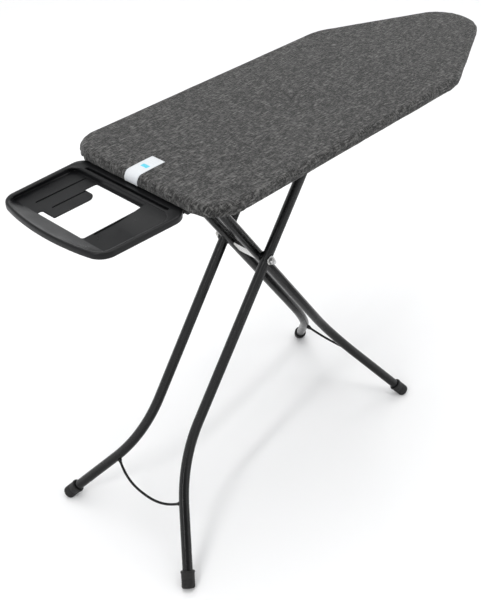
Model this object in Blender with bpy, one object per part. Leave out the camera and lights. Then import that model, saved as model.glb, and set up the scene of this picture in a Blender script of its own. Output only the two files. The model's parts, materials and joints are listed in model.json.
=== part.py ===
"""Folding ironing board with a steam-iron rest, standing at its top working height.

Metres, +Z up, +X towards the nose, +Y to the left of someone looking at the nose from the rest.
The origin lies on the floor, half way along the whole object. The outer leg frame has its feet
under the iron rest and slides in the rails; the inner leg frame has its feet under the nose and
hinges on the board. Both cross at the axle.
"""
import math

import bmesh
import bpy
from mathutils import Vector

GAP = 0.0003                    # what touching pieces keep between them

# Board
TOP_Z = 0.989                   # ironing surface
REAR_X = -0.4780                # rear edge of the cover
NOSE_X = 0.7095                 # tip of the cover
HALF_WIDTH = 0.2245
CORNER_R = 0.075                # rear corners
SHOULDER_R = 0.160              # where the taper starts
NOSE_R = 0.0969
TAPER = math.radians(24.7)      # each side's taper towards the nose
COVER_DEPTH = 0.024             # ironing surface to the underside of the hem
COVER_WALL = 0.0018
HEM = 0.032                     # how far the hem reaches in under the board
PAD_THICKNESS = 0.0078
PANEL_THICKNESS = 0.0010
HOLE_PITCH_X, HOLE_PITCH_Y, HOLE_R = 0.090, 0.075, 0.022
RIM_TUBE_R = 0.0050

# Stand
LEG_ANGLE = math.radians(35.0)  # each frame from the vertical
AXLE_X, AXLE_Z = -0.1629, 0.6584
ARM = 0.348                     # axle to the upper pivot, the same on both frames
TUBE_R = 0.0125
TUBE_WALL = 0.0012
OUTER_Y, OUTER_FOOT_Y, OUTER_BEND = 0.0685, 0.230, 0.108
INNER_Y, INNER_FOOT_Y, INNER_BEND = 0.0410, 0.206, 0.110
OUTER_FLARE = math.atan(0.62)   # slope of the flared lower leg in its own plane
INNER_FLARE = math.atan(0.56)
AXLE_R = 0.0050
WIRE_R = 0.0033
CAP_R = 0.0165
CAP_LENGTH = 0.042

# Rails under the board
RAIL_Y = 0.1060                 # outer face of each rail's web
RAIL_DEPTH = 0.018
RAIL_HALF_HEIGHT = 0.0182
RAIL_SHEET = 0.0020
RAIL_REAR_X, RAIL_FRONT_X = -0.442, 0.380
SLIDE_R = 0.0060
PIVOT_Z = AXLE_Z + ARM * math.cos(LEG_ANGLE)
HINGE_X = AXLE_X - ARM * math.sin(LEG_ANGLE)
SLIDE_X = AXLE_X + ARM * math.sin(LEG_ANGLE)
FOLD_LIMIT = math.radians(50.0)          # past this the axle's nuts would meet the rails
MEMBER_XS = (HINGE_X, -0.037, 0.333)    # cross members
FOLDED_SLIDE_X = HINGE_X + 2.0 * ARM * math.sin(LEG_ANGLE + FOLD_LIMIT)

# Height lock
LOCK_Y = 0.1085                 # inner face of each lock plate
LOCK_THICKNESS = 0.0030
LOCK_PIVOT_X = RAIL_FRONT_X - 0.012
LOCK_STEP = 0.045               # from one height setting to the next
LOCK_SETTINGS = 5
PIVOT_BOLT_R = 0.0030
RELEASE_R = 0.0035
GRIP_Y = (-0.1800, -0.1260)

# Iron rest
REST_TOP_Z, REST_BOTTOM_Z = 0.964, 0.9498
REST_OUTER_X, REST_INNER_X = -0.7095, -0.4725
REST_RIGHT_Y, REST_LEFT_Y = -0.1440, 0.1800
REST_FLOOR_Z = 0.9525
REST_RIM = 0.012                # width of the raised rim along each side
REST_BAND = 0.034               # width of the raised band beside the board
REST_TAPER = 0.006              # each side draws in by this much towards the outer end
REST_LIP = 0.0445               # width of the slope at its outer end
REST_BOW = 0.013                # how far the outer end bulges between its corners
REST_GROOVE_X = -0.4945
REST_SLOTS = ((0.123, -0.6415, -0.5115), (0.083, -0.6315, -0.5445), (-0.054, -0.6395, -0.5125))
ARM_WIDTH, ARM_THICKNESS = 0.016, 0.0030
ARM_REAR_X, ARM_FRONT_X = -0.670, -0.377
ARM_SCREW_XS = (("outer", -0.648), ("inner", -0.528))
SCREW_R = 0.0020

# Label sewn over the cover's rear edge
LABEL_Y = (-0.002, 0.036)
LABEL_REACH = 0.083             # how far it runs in over the top
LABEL_DROP = 0.0165             # how far it hangs down the edge
LABEL_SEAT = 0.0009             # depth of the dent it makes in the padded top

# Transport hook
HOOK_X, HOOK_Z = 0.5954, 0.954
HOOK_HUB, HOOK_PIN_R = 0.0065, 0.0020


def clear_scene():
    for obj in list(bpy.data.objects):
        bpy.data.objects.remove(obj, do_unlink=True)


def material(name, colour, roughness, metallic=0.0):
    mat = bpy.data.materials.new(name)
    mat.use_nodes = True
    shader = mat.node_tree.nodes["Principled BSDF"]
    shader.inputs["Base Color"].default_value = (*colour, 1.0)
    shader.inputs["Roughness"].default_value = roughness
    shader.inputs["Metallic"].default_value = metallic
    mat.diffuse_color = (*colour, 1.0)
    return mat


def finish(name, bm, mat, sharp=35.0):
    """Turn a bmesh into a named object, shaded smooth with its sharp edges kept."""
    bmesh.ops.recalc_face_normals(bm, faces=bm.faces)
    mesh = bpy.data.meshes.new(name)
    bm.to_mesh(mesh)
    bm.free()
    mesh.shade_smooth()
    mesh.set_sharp_from_angle(angle=math.radians(sharp))
    obj = bpy.data.objects.new(name, mesh)
    bpy.context.scene.collection.objects.link(obj)
    if mat is not None:
        mesh.materials.append(mat)
    return obj


def cut(obj, cutter):
    """Take the cutter out of obj, and keep the cutter as a hidden guide."""
    cutter.hide_render = True
    cutter.display_type = "WIRE"
    boolean = obj.modifiers.new("cut_" + cutter.name, "BOOLEAN")
    boolean.operation = "DIFFERENCE"
    boolean.solver = "EXACT"
    boolean.object = cutter


def loft(bm, rings, close=False):
    """Join rings of points into a skin; the end rings are filled unless the skin closes on itself."""
    rows = [[bm.verts.new(point) for point in ring] for ring in rings]
    count = len(rows[0])
    pairs = list(zip(rows, rows[1:]))
    if close:
        pairs.append((rows[-1], rows[0]))
    for low, high in pairs:
        for i in range(count):
            j = (i + 1) % count
            bm.faces.new((low[i], low[j], high[j], high[i]))
    if not close:
        bm.faces.new(rows[0][::-1])
        bm.faces.new(rows[-1])


def prism(outline, axis, low, high):
    """Extrude a 2D outline along X, Y or Z between two coordinates."""
    def place(point, level):
        a, b = point
        return {"X": (level, a, b), "Y": (a, level, b), "Z": (a, b, level)}[axis]
    bm = bmesh.new()
    loft(bm, [[place(p, low) for p in outline], [place(p, high) for p in outline]])
    return bm


def box(x, y, z):
    return prism([(x[0], y[0]), (x[1], y[0]), (x[1], y[1]), (x[0], y[1])], "Z", z[0], z[1])


def circle(a, b, radius, sides=16):
    turn = 2.0 * math.pi / sides
    return [(a + radius * math.cos(i * turn), b + radius * math.sin(i * turn)) for i in range(sides)]


def arc(centre, radius, start, end, steps):
    """Points of an arc in degrees, both ends included."""
    angles = [math.radians(start + (end - start) * i / steps) for i in range(steps + 1)]
    return [(centre[0] + radius * math.cos(a), centre[1] + radius * math.sin(a)) for a in angles]


def rounded_rect(x, y, radius, steps=4):
    corners = ((x[1], y[1], 0), (x[0], y[1], 90), (x[0], y[0], 180), (x[1], y[0], 270))
    points = []
    for cx, cy, start in corners:
        inward_x = -radius if cx == x[1] else radius
        inward_y = -radius if cy == y[1] else radius
        points += arc((cx + inward_x, cy + inward_y), radius, start, start + 90, steps)
    return points


def cross_rod(x, z, radius, low, high, sides=16):
    """A cylinder along Y."""
    return prism(circle(x, z, radius, sides), "Y", low, high)


def ring_at(centre, tangent, normal, radius, sides):
    side = tangent.cross(normal).normalized()
    up = side.cross(tangent).normalized()
    turn = 2.0 * math.pi / sides
    return [centre + radius * (math.cos(i * turn) * side + math.sin(i * turn) * up)
            for i in range(sides)]


def sweep(path, normal, radius, bore=0.0, sides=16, closed=False):
    """Sweep a round section, solid or with a bore, along a path that lies across `normal`."""
    last = len(path) - 1
    outer, inner = [], []
    for i, point in enumerate(path):
        before = path[i - 1] if (i > 0 or closed) else path[0]
        after = path[(i + 1) % len(path)] if (i < last or closed) else path[last]
        tangent = (after - before).normalized()
        outer.append(ring_at(point, tangent, normal, radius, sides))
        if bore:
            inner.append(ring_at(point, tangent, normal, bore, sides))
    bm = bmesh.new()
    if bore:
        loft(bm, outer + inner[::-1], close=True)
    else:
        loft(bm, outer, close=closed)
    return bm


def turned(profile, origin, axis, sides=16):
    """Turn a closed (radius, distance) profile about an axis; a zero radius closes on the axis."""
    axis = axis.normalized()
    across = axis.orthogonal().normalized()
    other = axis.cross(across)
    bm = bmesh.new()
    rows = []
    turn = 2.0 * math.pi / sides
    for radius, distance in profile:
        centre = origin + axis * distance
        if radius == 0.0:
            rows.append([bm.verts.new(centre)])
            continue
        rows.append([bm.verts.new(centre + radius * (math.cos(i * turn) * across
                                                     + math.sin(i * turn) * other))
                     for i in range(sides)])
    open_profile = profile[0][0] == 0.0 and profile[-1][0] == 0.0
    pairs = list(zip(rows, rows[1:])) + ([] if open_profile else [(rows[-1], rows[0])])
    for low, high in pairs:
        for i in range(sides):
            j = (i + 1) % sides
            if len(low) == 1:
                bm.faces.new((low[0], high[j], high[i]))
            elif len(high) == 1:
                bm.faces.new((low[i], low[j], high[0]))
            else:
                bm.faces.new((low[i], low[j], high[j], high[i]))
    return bm


# ------------------------------------------------------------------ board

def board_outline(inset):
    """The board's outline, counter-clockwise, moved inwards by `inset`."""
    nose_x = NOSE_X - NOSE_R
    lean = math.pi / 2.0 - TAPER
    shoulder_y = HALF_WIDTH - SHOULDER_R
    shoulder_x = nose_x + (NOSE_R - SHOULDER_R - math.sin(lean) * shoulder_y) / math.cos(lean)
    lean_deg = math.degrees(lean)
    half = arc((nose_x, 0.0), NOSE_R - inset, 0.0, lean_deg, 8)
    half += arc((shoulder_x, shoulder_y), SHOULDER_R - inset, lean_deg, 90.0, 4)
    half += arc((REAR_X + CORNER_R, HALF_WIDTH - CORNER_R), CORNER_R - inset, 90.0, 180.0, 7)
    return half + [(x, -y) for x, y in half[:0:-1]]


def outline_ring(inset, z):
    return [(x, y, z) for x, y in board_outline(inset)]


def build_cover(mat):
    """A fabric skin over the top and round the edge, with its hem turned in underneath."""
    bottom = TOP_Z - COVER_DEPTH
    outside = [(0.0100, TOP_Z), (0.0048, TOP_Z - 0.0012), (0.0014, TOP_Z - 0.0040), (0.0, TOP_Z - 0.0085),
               (0.0, bottom + 0.0075), (0.0012, bottom + 0.0030), (0.0060, bottom), (HEM, bottom)]
    inside = [(HEM, bottom + 0.0015), (0.0075, bottom + 0.0015), (0.0032, bottom + 0.0036),
              (COVER_WALL, bottom + 0.0080), (COVER_WALL, TOP_Z - 0.0090), (0.0032, TOP_Z - 0.0050),
              (0.0062, TOP_Z - 0.0029), (0.0105, TOP_Z - COVER_WALL)]
    bm = bmesh.new()
    loft(bm, [outline_ring(inset, z) for inset, z in outside + inside])
    cover = finish("cover", bm, mat)
    dent = box((REAR_X + 0.0045, REAR_X + LABEL_REACH + GAP), (LABEL_Y[0] - GAP, LABEL_Y[1] + GAP),
               (TOP_Z - LABEL_SEAT, TOP_Z + 0.005))
    cut(cover, finish("label_dent", dent, None))


def build_pad(mat):
    top = TOP_Z - COVER_WALL - GAP
    base = top - PAD_THICKNESS
    bm = bmesh.new()
    loft(bm, [outline_ring(0.0042, base), outline_ring(0.0036, base + 0.0030),
              outline_ring(0.0070, top - 0.0012), outline_ring(0.0110, top)])
    finish("foam_pad", bm, mat)
    return base


def build_panel(mat, top):
    """The perforated steel sheet that carries the pad."""
    base = top - PANEL_THICKNESS
    bm = bmesh.new()
    loft(bm, [outline_ring(0.0045, base), outline_ring(0.0045, top)])
    panel = finish("top_panel", bm, mat)
    holes = bmesh.new()
    margin, member_margin, rail_margin, taper_x = 0.035, 0.045, 0.005, 0.34
    for column in range(12):
        for row in range(-2, 3):
            x = REAR_X + 0.066 + column * HOLE_PITCH_X
            y = row * HOLE_PITCH_Y + (HOLE_PITCH_Y / 2.0 if column % 2 else 0.0)
            taper_y = HALF_WIDTH - max(0.0, x - taper_x) * math.tan(TAPER)
            over_edge = abs(y) + HOLE_R > taper_y - margin
            on_member = any(abs(x - member) < member_margin for member in MEMBER_XS)
            on_rail = abs(abs(y) - RAIL_Y) < rail_margin
            if over_edge or on_member or on_rail:
                continue
            rings = [[(a, b, z) for a, b in circle(x, y, HOLE_R, 6)] for z in (base - 0.002, top + 0.002)]
            loft(holes, rings)
    cut(panel, finish("panel_holes", holes, None))
    return base


def build_rim(mat, panel_base):
    z = panel_base - GAP - RIM_TUBE_R
    path = [Vector((x, y, z)) for x, y in board_outline(0.0090)]
    finish("rim_tube", sweep(path, Vector((0, 0, 1)), RIM_TUBE_R, sides=8, closed=True), mat)


def build_cross_members(mat, top):
    """Three open channels across the board, under the panel and on top of the rails."""
    base = PIVOT_Z + RAIL_HALF_HEIGHT + GAP
    sheet, half = 0.0015, 0.020
    reach = HALF_WIDTH - HEM - 0.006
    names = ("rear_cross_member", "middle_cross_member", "front_cross_member")
    for name, x in zip(names, MEMBER_XS):
        section = [(x - half, base), (x - half + sheet, base), (x - half + sheet, top - sheet),
                   (x + half - sheet, top - sheet), (x + half - sheet, base), (x + half, base),
                   (x + half, top), (x - half, top)]
        finish(name, prism(section, "Y", -reach, reach), mat, sharp=20.0)


def build_rail(mat, side):
    """A channel that opens inwards, drilled for the hinge rod and slotted for the slide rod."""
    name = "slide_rail_" + ("left" if side > 0 else "right")
    web, lip = side * RAIL_Y, side * (RAIL_Y - RAIL_DEPTH)
    low, high = PIVOT_Z - RAIL_HALF_HEIGHT, PIVOT_Z + RAIL_HALF_HEIGHT
    inner_web = side * (RAIL_Y - RAIL_SHEET)
    section = [(web, low), (web, high), (lip, high), (lip, high - RAIL_SHEET),
               (inner_web, high - RAIL_SHEET), (inner_web, low + RAIL_SHEET), (lip, low + RAIL_SHEET),
               (lip, low)]
    rail = finish(name, prism(section, "X", RAIL_REAR_X, RAIL_FRONT_X), mat, sharp=20.0)
    reach = (min(web, inner_web) - 0.004, max(web, inner_web) + 0.004)
    hole = AXLE_R + 2.0 * GAP
    cut(rail, finish(name + "_hinge_hole", cross_rod(HINGE_X, PIVOT_Z, hole, *reach), None))
    lock_hole = cross_rod(LOCK_PIVOT_X, PIVOT_Z, PIVOT_BOLT_R + GAP, *reach, 12)
    cut(rail, finish(name + "_lock_hole", lock_hole, None))
    slot_r = SLIDE_R + 2.0 * GAP
    slot = arc((FOLDED_SLIDE_X, PIVOT_Z), slot_r, -90.0, 90.0, 6)
    slot += arc((SLIDE_X, PIVOT_Z), slot_r, 90.0, 270.0, 6)
    cut(rail, finish(name + "_slot", prism(slot, "Y", *reach), None))


def build_hinge(zinc, black):
    """The rod that the inner frame swings on, its end nuts, and the tube that spaces the frame."""
    nut_inner, nut_outer = RAIL_Y + GAP, RAIL_Y + 0.0065
    finish("hinge_rod", cross_rod(HINGE_X, PIVOT_Z, AXLE_R, -nut_outer, nut_outer), zinc)
    for side, label in ((1, "left"), (-1, "right")):
        profile = [(AXLE_R + GAP, 0.0), (0.0092, 0.0), (0.0092, 0.0012), (0.0080, 0.0014), (0.0080, 0.0062),
                   (AXLE_R + GAP, 0.0062)]
        origin = Vector((HINGE_X, side * nut_inner, PIVOT_Z))
        finish("hinge_nut_" + label, turned(profile, origin, Vector((0, side, 0)), 12), zinc, 30.0)
    reach = INNER_Y - TUBE_R - GAP
    bore = AXLE_R + 2.0 * GAP
    profile = [(bore, -reach), (0.0095, -reach), (0.0095, reach), (bore, reach)]
    finish("hinge_spacer", turned(profile, Vector((HINGE_X, 0, PIVOT_Z)), Vector((0, 1, 0))), black)


# ------------------------------------------------------------------ stand

AXLE = Vector((AXLE_X, 0.0, AXLE_Z))
OUTER_DOWN = Vector((-math.sin(LEG_ANGLE), 0.0, -math.cos(LEG_ANGLE)))
INNER_DOWN = Vector((math.sin(LEG_ANGLE), 0.0, -math.cos(LEG_ANGLE)))
FLOOR_REACH = AXLE_Z / math.cos(LEG_ANGLE)     # axle to the floor, along a frame


def leg_path(down, side, straight_y, foot_y, flare, bend, top, end):
    """One leg's centre line: straight from `top`, a bend, and a straight flare to distance `end`."""
    corner = FLOOR_REACH - (foot_y - straight_y) / math.tan(flare)
    radius = bend / math.tan(flare / 2.0)
    steps = 10
    flat = [(top, straight_y)]
    for i in range(steps + 1):
        angle = flare * i / steps
        flat.append((corner - bend + radius * math.sin(angle), straight_y + radius * (1.0 - math.cos(angle))))
    flat.append((end, straight_y + (end - corner) * math.tan(flare)))
    return [AXLE + down * s + Vector((0.0, side * y, 0.0)) for s, y in flat]


def wire_path(down, half_y, end_s, middle_s):
    """A bow that runs from leg to leg, lowest in the middle, flattest at its centre."""
    count = 16
    points = []
    for i in range(count + 1):
        t = -1.0 + 2.0 * i / count
        s = middle_s + (end_s - middle_s) * abs(t) ** 2.4
        points.append(AXLE + down * s + Vector((0.0, half_y * t, 0.0)))
    return points


def build_frame(prefix, down, straight_y, foot_y, flare, bend, wire, materials, axle_hole, top_hole):
    """One leg frame: two tubes, a wire bow between them and two foot caps."""
    black, rubber = materials
    normal = Vector((0, 1, 0)).cross(down).normalized()
    slope = (down * math.cos(flare)).z
    end = FLOOR_REACH - 0.011 * math.cos(flare) / -slope
    top = -ARM - 0.012
    guides = {}
    for side, label in ((1, "left"), (-1, "right")):
        path = leg_path(down, side, straight_y, foot_y, flare, bend, top, end)
        tube = finish(prefix + "_tube_" + label,
                      sweep(path, normal, TUBE_R, TUBE_R - TUBE_WALL), black)
        y = side * straight_y
        reach = (y - TUBE_R - 0.004, y + TUBE_R + 0.004)
        cut(tube, finish(prefix + "_axle_hole_" + label,
                         cross_rod(AXLE_X, AXLE_Z, axle_hole, *reach), None))
        upper = AXLE - down * ARM
        cut(tube, finish(prefix + "_top_hole_" + label,
                         cross_rod(upper.x, upper.z, top_hole, *reach), None))
        guide = finish(prefix + "_leg_guide_" + label, sweep(path, normal, TUBE_R + GAP), None)
        guides[label] = guide
        build_foot_cap(prefix + "_foot_" + label, path[-1], (path[-1] - path[-2]).normalized(), rubber)
    bow = finish(prefix + "_wire_bow", sweep(wire_path(down, *wire), normal, WIRE_R, sides=8), black)
    for guide in guides.values():
        cut(bow, guide)


def build_foot_cap(name, tube_end, direction, mat):
    """A rubber cup over the tube's end, cut flat where it stands on the floor."""
    seat = TUBE_R + GAP
    sole = (tube_end.z - 0.0050) / -direction.z
    profile = [(0.0, sole), (CAP_R - 0.004, sole), (CAP_R - 0.001, sole - 0.0020), (CAP_R, sole - 0.0060),
               (CAP_R, sole - CAP_LENGTH + 0.006), (CAP_R + 0.0012, sole - CAP_LENGTH + 0.004),
               (CAP_R + 0.0012, sole - CAP_LENGTH + 0.0010), (CAP_R, sole - CAP_LENGTH),
               (seat, sole - CAP_LENGTH), (seat, GAP), (0.0, GAP)]
    cap = finish(name, turned(profile, tube_end, direction), mat)
    half = 0.06
    floor = box((tube_end.x - half, tube_end.x + half), (tube_end.y - half, tube_end.y + half), (-0.05, 0.0))
    cut(cap, finish(name + "_floor_cut", floor, None))


def build_axle(zinc, plastic):
    """The rod through both frames, with washers between the tubes and a nut at each end."""
    face = OUTER_Y + TUBE_R
    reach = face + 0.0150
    finish("axle", cross_rod(AXLE_X, AXLE_Z, AXLE_R, -reach, reach), zinc)
    for side, label in ((1, "left"), (-1, "right")):
        between = OUTER_Y - INNER_Y - 2.0 * TUBE_R - 2.0 * GAP
        start = side * (INNER_Y + TUBE_R + GAP)
        profile = [(AXLE_R + GAP, 0.0), (0.0125, 0.0), (0.0125, between), (AXLE_R + GAP, between)]
        finish("axle_spacer_" + label,
               turned(profile, Vector((AXLE_X, start, AXLE_Z)), Vector((0, side, 0))), plastic)
        origin = Vector((AXLE_X, side * (face + GAP), AXLE_Z))
        bore = AXLE_R + GAP
        washer = [(bore, 0.0), (0.0115, 0.0), (0.0115, 0.0016), (bore, 0.0016)]
        finish("axle_washer_" + label, turned(washer, origin, Vector((0, side, 0))), zinc, 30.0)
        low, high = sorted((side * (face + 0.0022), side * (face + 0.0105)))
        nut = finish("axle_nut_" + label, cross_rod(AXLE_X, AXLE_Z, 0.0090, low, high, 6), zinc, 20.0)
        cut(nut, finish("axle_nut_bore_" + label,
                        cross_rod(AXLE_X, AXLE_Z, bore, low - 0.002, high + 0.002), None))


def build_inner_plates(black, zinc):
    """The web between the inner tubes, and the folded channel round the axle where it ends."""
    normal = Vector((0, 1, 0)).cross(INNER_DOWN).normalized()
    half = INNER_Y - TUBE_R - 2.0 * GAP
    back, mouth, half_depth, sheet = -0.0120, 0.0260, 0.0080, 0.0016

    def strip(name, section, mat):
        """A piece from tube to tube with a section given as (distance down the frame, offset)."""
        rings = [[AXLE + INNER_DOWN * s + normal * level + Vector((0, y, 0)) for s, level in section]
                 for y in (-half, half)]
        bm = bmesh.new()
        loft(bm, rings)
        return finish(name, bm, mat)

    web_end = back - 0.0010
    strip("inner_web_plate", [(-ARM + 0.018, -0.0027), (web_end, -0.0027), (web_end, -0.0012),
                              (-ARM + 0.018, -0.0012)], black)
    bend = 0.0030
    inner_depth, inner_back = half_depth - sheet, back + sheet
    strip("axle_bracket", [(mouth, -half_depth), (back + bend, -half_depth), (back, bend - half_depth),
                           (back, half_depth - bend), (back + bend, half_depth), (mouth, half_depth),
                           (mouth, inner_depth), (inner_back + bend, inner_depth),
                           (inner_back, inner_depth - bend), (inner_back, bend - inner_depth),
                           (inner_back + bend, -inner_depth), (mouth, -inner_depth)], zinc)


def build_slide(zinc, nylon):
    """The rod through the outer frame's upper ends and the shoes that run in the rails."""
    reach = LOCK_Y + LOCK_THICKNESS + 0.0015
    finish("slide_rod", cross_rod(SLIDE_X, PIVOT_Z, SLIDE_R, -reach, reach), zinc)
    inner, outer = RAIL_Y - RAIL_DEPTH + 0.001, RAIL_Y - RAIL_SHEET - 2.0 * GAP
    half_height = RAIL_HALF_HEIGHT - RAIL_SHEET - 2.0 * GAP
    for side, label in ((1, "left"), (-1, "right")):
        low, high = sorted((side * inner, side * outer))
        outline = rounded_rect((SLIDE_X - 0.014, SLIDE_X + 0.014),
                               (PIVOT_Z - half_height, PIVOT_Z + half_height), 0.005, 3)
        shoe = finish("slide_shoe_" + label, prism(outline, "Y", low, high), nylon)
        cut(shoe, finish("shoe_bore_" + label,
                         cross_rod(SLIDE_X, PIVOT_Z, SLIDE_R + GAP, low - 0.002, high + 0.002), None))


# ------------------------------------------------------------------ height lock

def lock_outline():
    """A comb below the slide rod's path that rises to the pivot and on to the release bar."""
    tip = PIVOT_Z - SLIDE_R - 0.0008
    root, spine = tip - 0.0065, tip - 0.0160
    start = SLIDE_X - 0.022
    points = [(start, spine), (LOCK_PIVOT_X - 0.015, spine), (LOCK_PIVOT_X + 0.010, PIVOT_Z - 0.012),
              (LOCK_PIVOT_X + 0.048, PIVOT_Z - 0.009), (LOCK_PIVOT_X + 0.048, PIVOT_Z + 0.007),
              (LOCK_PIVOT_X - 0.008, PIVOT_Z + 0.009), (LOCK_PIVOT_X - 0.014, root)]
    seat = SLIDE_R + 0.0012
    for setting in reversed(range(LOCK_SETTINGS)):
        x = SLIDE_X + setting * LOCK_STEP
        points += [(x + seat + 0.014, root), (x + seat + 0.004, tip), (x + seat, tip), (x + seat, root),
                   (x - seat, root)]
    points += [(SLIDE_X - seat, tip), (start + 0.004, tip), (start, tip - 0.004)]
    return points


def build_height_lock(steel, zinc, plastic):
    release_x, release_z = LOCK_PIVOT_X + 0.036, PIVOT_Z - 0.001
    for side, label in ((1, "left"), (-1, "right")):
        low, high = sorted((side * LOCK_Y, side * (LOCK_Y + LOCK_THICKNESS)))
        plate = finish("lock_plate_" + label, prism(lock_outline(), "Y", low, high), steel, 20.0)
        pivot_hole = cross_rod(LOCK_PIVOT_X, PIVOT_Z, PIVOT_BOLT_R + GAP, low - 0.002, high + 0.002, 12)
        cut(plate, finish("lock_pivot_hole_" + label, pivot_hole, None))
        release_hole = cross_rod(release_x, release_z, RELEASE_R + GAP, low - 0.002, high + 0.002, 12)
        cut(plate, finish("release_hole_" + label, release_hole, None))
        tail, tail_r, tail_gap = 0.0015, 0.0055, 0.0018
        origin = Vector((LOCK_PIVOT_X, side * (RAIL_Y - RAIL_SHEET - tail_gap), PIVOT_Z))
        head = RAIL_SHEET + tail_gap + LOCK_Y - RAIL_Y + LOCK_THICKNESS + 0.0075
        bolt = [(0.0, 0.0), (tail_r, 0.0), (tail_r, tail), (PIVOT_BOLT_R, tail), (PIVOT_BOLT_R, head),
                (0.0062, head), (0.0062, head + 0.003), (0.0050, head + 0.0042), (0.0, head + 0.0042)]
        finish("lock_pivot_bolt_" + label, turned(bolt, origin, Vector((0, side, 0)), 12), zinc, 30.0)
    far_end = LOCK_Y + LOCK_THICKNESS + 0.002
    bar = cross_rod(release_x, release_z, RELEASE_R, GRIP_Y[0] + 0.002, far_end, 12)
    finish("release_bar", bar, zinc)
    section = rounded_rect((release_x - 0.012, release_x + 0.026),
                           (release_z - 0.008, release_z + 0.007), 0.006, 3)
    grip = finish("release_grip", prism(section, "Y", *GRIP_Y), plastic)
    bore = cross_rod(release_x, release_z, RELEASE_R + GAP, GRIP_Y[0] + 0.0017, GRIP_Y[1] + 0.006, 12)
    cut(grip, finish("grip_bore", bore, None))
    build_lock_spring(zinc)


def build_lock_spring(mat):
    """A torsion spring on the right pivot bolt, outside the lock plate."""
    turns, per_turn, coil_r, wire = 3, 10, 0.0046, 0.0007
    start_y = -(LOCK_Y + LOCK_THICKNESS + 0.0016)
    path = [Vector((LOCK_PIVOT_X - 0.016, start_y, PIVOT_Z + coil_r))]
    for i in range(turns * per_turn + 1):
        angle = math.pi / 2.0 - 2.0 * math.pi * i / per_turn
        y = start_y - 0.0016 * i / per_turn
        path.append(Vector((LOCK_PIVOT_X + coil_r * math.cos(angle), y, PIVOT_Z + coil_r * math.sin(angle))))
    path.append(path[-1] + Vector((0.014, 0.0, 0.0)))
    finish("lock_spring", sweep(path, Vector((0, 1, 0)), wire, sides=6), mat)


# ------------------------------------------------------------------ iron rest

def rest_outline(inset):
    """The tray's outline: rounded corners, sides that draw in slightly, and a bowed outer end."""
    x_in, x_out = REST_INNER_X - inset, REST_OUTER_X + inset
    low, high = REST_RIGHT_Y + inset, REST_LEFT_Y - inset
    right_r, left_r, outer_r = 0.036 - inset, 0.028 - inset, 0.040 - inset
    points = arc((x_in - right_r, low + right_r), right_r, -90.0, 0.0, 5)
    points += arc((x_in - left_r, high - left_r), left_r, 0.0, 90.0, 5)
    left, right = high - REST_TAPER, low + REST_TAPER
    centre_x = x_out + REST_BOW + outer_r
    points += arc((centre_x, left - outer_r), outer_r, 88.0, 166.0, 6)
    middle, half = (left + right) / 2.0, (left - right) / 2.0 - outer_r
    steps = 8
    for i in range(1, steps):
        t = 1.0 - 2.0 * i / steps
        points.append((x_out + 0.9 * REST_BOW * t * t, middle + half * t))
    points += arc((centre_x, right + outer_r), outer_r, 194.0, 272.0, 6)
    return points


def build_iron_rest(mat):
    """A shallow tray: a pocket for the iron, a slope at its outer end, and a hole through its floor."""
    def ring(inset, z):
        return [(x, y, z) for x, y in rest_outline(inset)]
    bm = bmesh.new()
    loft(bm, [ring(0.0025, REST_BOTTOM_Z), ring(0.0, REST_BOTTOM_Z + 0.0030), ring(0.0, REST_TOP_Z - 0.0030),
              ring(0.0010, REST_TOP_Z - 0.0010), ring(0.0030, REST_TOP_Z)])
    tray = finish("iron_rest", bm, mat)

    clear = 0.010                   # how far a cutter runs past the tray
    lip_in = REST_OUTER_X + REST_LIP
    fall = (REST_TOP_Z - 0.0015 - REST_FLOOR_Z) / (REST_LIP - 0.005)
    past = REST_OUTER_X - clear
    past_z = REST_FLOOR_Z + fall * (lip_in - past)
    dish = [(lip_in, REST_FLOOR_Z), (past, past_z), (past, past_z + clear), (lip_in, past_z + clear)]
    inside_y = (REST_RIGHT_Y + REST_TAPER + REST_RIM, REST_LEFT_Y - REST_TAPER - REST_RIM)
    cut(tray, finish("rest_lip_cut", prism(dish, "Y", *inside_y), None))
    pocket = rounded_rect((lip_in - 0.0005, REST_INNER_X - REST_BAND), inside_y, 0.006)
    cut(tray, finish("rest_pocket", prism(pocket, "Z", REST_FLOOR_Z, REST_TOP_Z + clear), None))

    wall_x = REST_OUTER_X + REST_BOW + 0.0035
    under = [(lip_in, REST_BOTTOM_Z), (lip_in, REST_BOTTOM_Z - clear), (wall_x, REST_BOTTOM_Z - clear),
             (wall_x, REST_BOTTOM_Z + fall * (lip_in - wall_x))]
    under_y = (inside_y[0] + 0.018, inside_y[1] - 0.018)
    cut(tray, finish("rest_lip_hollow", prism(under, "Y", *under_y), None))
    through = (REST_BOTTOM_Z - clear, REST_TOP_Z)
    cut(tray, finish("rest_opening", prism(opening_outline(), "Z", *through), None))

    groove = rounded_rect((REST_GROOVE_X - 0.0045, REST_GROOVE_X + 0.0045), (-0.108, 0.142), 0.004, 3)
    cut(tray, finish("rest_groove", prism(groove, "Z", REST_TOP_Z - 0.007, REST_TOP_Z + clear), None))
    half = 0.0025
    for index, (y, start, end) in enumerate(REST_SLOTS):
        slot = rounded_rect((start, end), (y - half, y + half), half - 0.0001, 3)
        cut(tray, finish(f"rest_slot_{index}", prism(slot, "Z", REST_FLOOR_Z - 0.0014, REST_TOP_Z), None))


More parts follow.
